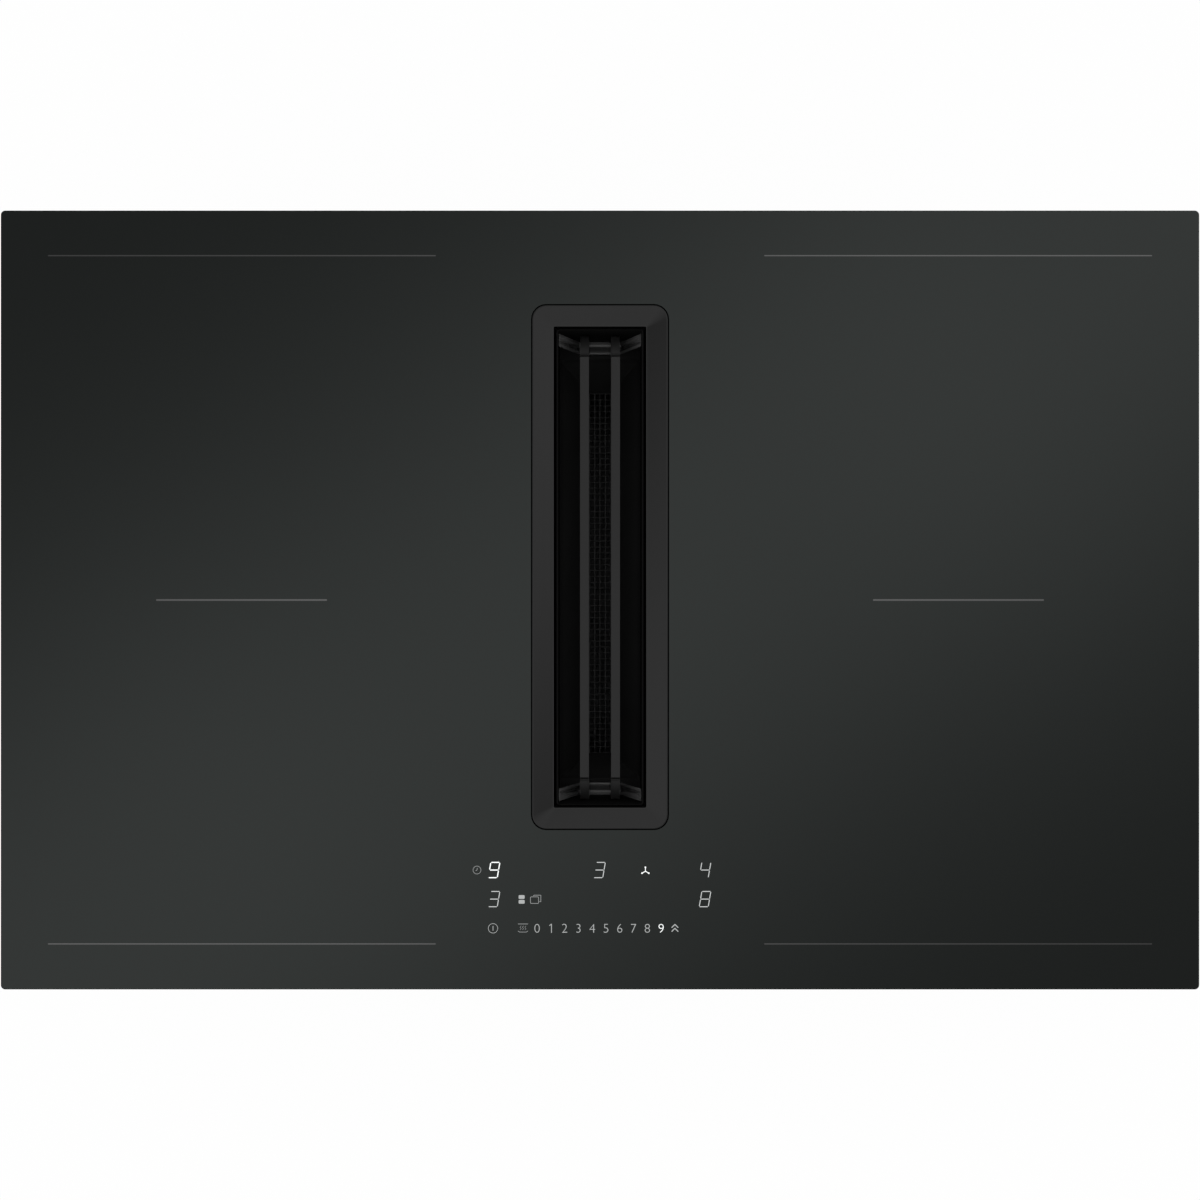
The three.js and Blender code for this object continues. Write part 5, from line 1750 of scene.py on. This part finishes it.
@dataclass
class Outlet:
    """The flat outlet spigot with a bead that holds the duct."""

    box: Box
    from_end: float = 0.0075
    width: float = 0.222
    height: float = 0.089
    corner: float = 0.003
    bead: float = 0.0014
    bead_width: float = 0.005
    sunk: float = 0.0008

    def build(self) -> None:
        """Lofts the bead flat, turns it upright and joins it to a copy of the spigot."""
        half = self.bead_width / 2
        profile = (
            (-self.sunk, -half),
            (0.0, -half),
            (self.bead, -half / 2),
            (self.bead, half / 2),
            (0.0, half),
            (-self.sunk, half),
        )
        sections = [Oblong(self.width + 2 * out, self.height + 2 * out, z, self.corner) for out, z in profile]
        place = (self.box.middle.x, self.box.high.y - self.from_end, self.box.middle.z)
        bead = Model("outlet_bead").loft(sections, closed=True).put(place, (90.0, 0.0, 0.0))
        model = node_copy("outlet_spigot", "outlet_beaded").round_edges(0.0005, 2)
        model.join([bead]).smooth(40.0).dress(BLACK_PLASTIC, "root", "outlet_spigot")


@dataclass
class Gland:
    """The cable gland: a hexagon nut and a domed cap round the bore."""

    box: Box
    bore: float = 0.0065
    nut: float = 0.0159
    nut_start: float = 0.004
    nut_end: float = 0.011
    cap: float = 0.0128
    end: float = 0.022
    chamfer: float = 0.0008
    lip: float = 0.0005

    def build(self) -> None:
        """Lofts the nut and the cap upright, and turns them to the back."""
        chamfer, end = self.chamfer, self.end
        inner, neck = self.bore * 1.3, self.bore * 1.45
        nut = (
            (self.nut - chamfer, self.nut_start),
            (self.nut, self.nut_start + chamfer),
            (self.nut, self.nut_end - chamfer),
            (self.nut - chamfer, self.nut_end),
            (inner, self.nut_end),
            (inner, self.nut_start),
        )
        cap = (
            (self.bore, 0.0),
            (neck, 0.0),
            (neck, self.nut_end - chamfer),
            (self.cap, self.nut_end - chamfer),
            (self.cap, end - 0.004),
            (self.cap * 0.93, end - 0.0015),
            (self.cap * 0.8, end),
            (self.bore + self.lip, end),
            (self.bore, end - self.lip),
        )
        model = Model("gland_body").loft([Round(radius, z, sides=6) for radius, z in nut], closed=True)
        model.loft([Round(radius, z) for radius, z in cap], closed=True)
        model.put((self.box.middle.x, self.box.low.y, self.box.middle.z), (-90.0, 0.0, 0.0))
        model.smooth(35.0).dress(BLACK_PLASTIC, "root", "cable_gland")


@dataclass
class Screws:
    """The screws of the clamps and of the housing, with a hexagon socket in a round head."""

    head: float = 0.0042
    head_height: float = 0.0027
    shank: float = 0.002
    length: float = 0.0049
    socket: float = 0.0016
    socket_depth: float = 0.0015

    def build(self) -> None:
        """Lofts one screw, and copies it to each place, head outwards."""
        top = self.head_height
        profile = (
            (self.shank, -self.length),
            (self.shank, 0.0),
            (self.head, 0.0),
            (self.head, top * 0.35),
            (self.head * 0.9, top * 0.7),
            (self.head * 0.68, top * 0.94),
            (self.head * 0.5, top),
        )
        sections = [Round(radius, z, sides=24) for radius, z in profile]
        sections += [Round(self.socket, z, sides=6) for z in (top, top - self.socket_depth)]
        first = Model("screw").loft(sections)
        for node, turn in self._places():
            box = Box.of(node)
            seat = box.middle.copy()
            if turn[0]:
                seat.z = box.low.z + top
            else:
                seat.x = box.low.x + top if turn[1] < 0 else box.high.x - top
            model = first.copy(f"{node}_socket").put(seat, turn).smooth(35.0)
            model.dress(SCREW_STEEL, "root", node)
        bpy.data.objects.remove(first.obj)

    def _places(self) -> list[tuple[str, Point]]:
        """Lists the nodes, with how each screw is turned from upright."""
        places = [(f"housing_screw_{number}", (180.0, 0.0, 0.0)) for number in range(1, 5)]
        for end in ("front", "rear"):
            places.append((f"clamp_screw_{end}_left", (0.0, -90.0, 0.0)))
            places.append((f"clamp_screw_{end}_right", (0.0, 90.0, 0.0)))
        return places


@dataclass
class Rounding:
    """A node that is shown as a copy with its edges rounded."""

    node: str
    finish: Finish
    body: str = "root"
    width: float = 0.0004

    def build(self) -> None:
        """Rounds and dresses the copy."""
        model = node_copy(self.node, f"{self.node}_rounded").round_edges(self.width).smooth(40.0)
        model.dress(self.finish, self.body, self.node)


INNER_FINISHES = {
    "ring_seal": FOAM,
    "heatsink": ALUMINIUM,
    "coil_plate": ALUMINIUM,
    "coil": COPPER_COIL,
    "mica": MICA_SHEET,
    "power_board": GREEN_BOARD,
    "control_board": GREEN_BOARD,
    "control_carrier": BLACK_PLASTIC,
    "light_guide": WHITE_PLASTIC,
    "cooling_fan": BLACK_PLASTIC,
    "scroll_housing": BLACK_PLASTIC,
    "inlet_plate": BLACK_PLASTIC,
    "motor_body": MOTOR_COAT,
    "motor_shaft": SCREW_STEEL,
    "impeller": BLACK_PLASTIC,
    "damper_pin": SCREW_STEEL,
    "damper_flap": BLACK_PLASTIC,
    "terminal_block": WHITE_PLASTIC,
}


@dataclass
class InnerWorks:
    """The nodes that keep their own mesh, each with the finish that the start of its name gives."""

    nodes: dict[str, bpy.types.Object]

    def build(self) -> None:
        """Gives each node that shows its finish."""
        for name, node in sorted(self.nodes.items()):
            if node.hide_render:
                continue
            finish = next((INNER_FINISHES[start] for start in INNER_FINISHES if name.startswith(start)), None)
            if finish is None:
                LOG.warning("%s has no finish of its own", name)
                finish = BLACK_PLASTIC
            node.data.materials.clear()
            node.data.materials.append(finish.material())
            LOG.info("%s: finish %s", name, finish.name)


def main() -> None:
    """Builds the studio and every piece, in order."""
    logging.basicConfig(level=logging.INFO, format="%(message)s")
    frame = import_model()
    deselect()
    glass, ring = Box.of("glass_top"), Box.of("intake_ring")
    middle_y = ring.middle.y
    print_top = glass.high.z - 0.00001
    Studio(glass.high.z).build()
    GlassPlate(glass).build(middle_y)
    ZoneLines(print_top).build()
    TouchMarks(print_top).build()
    IntakeRing(ring).build()
    Cassette(Box.of("cassette_shell")).build()
    WovenNet(Box.of("filter_mesh")).build()
    Grille(Box.of("grille_bar_left"), Box.of("grille_saddle_front"), middle_y).build()
    DripTray(Box.of("drip_tray")).build()
    BlowerCase(Box.of("lower_housing")).build()
    Outlet(Box.of("outlet_spigot")).build()
    Gland(Box.of("cable_gland")).build()
    Screws().build()
    Rounding("rim_seal", FOAM).build()
    Rounding("casing_tray", ZINC_SHEET).build()
    for node in ("intake_shaft", "terminal_box", "terminal_cover"):
        Rounding(node, BLACK_PLASTIC).build()
    for end in ("front", "rear"):
        for side in ("left", "right"):
            Rounding(f"clamp_{end}_{side}", SPRING, width=0.0002).build()
    InnerWorks(frame["nodes"]).build()


if __name__ == "__main__":
    main()
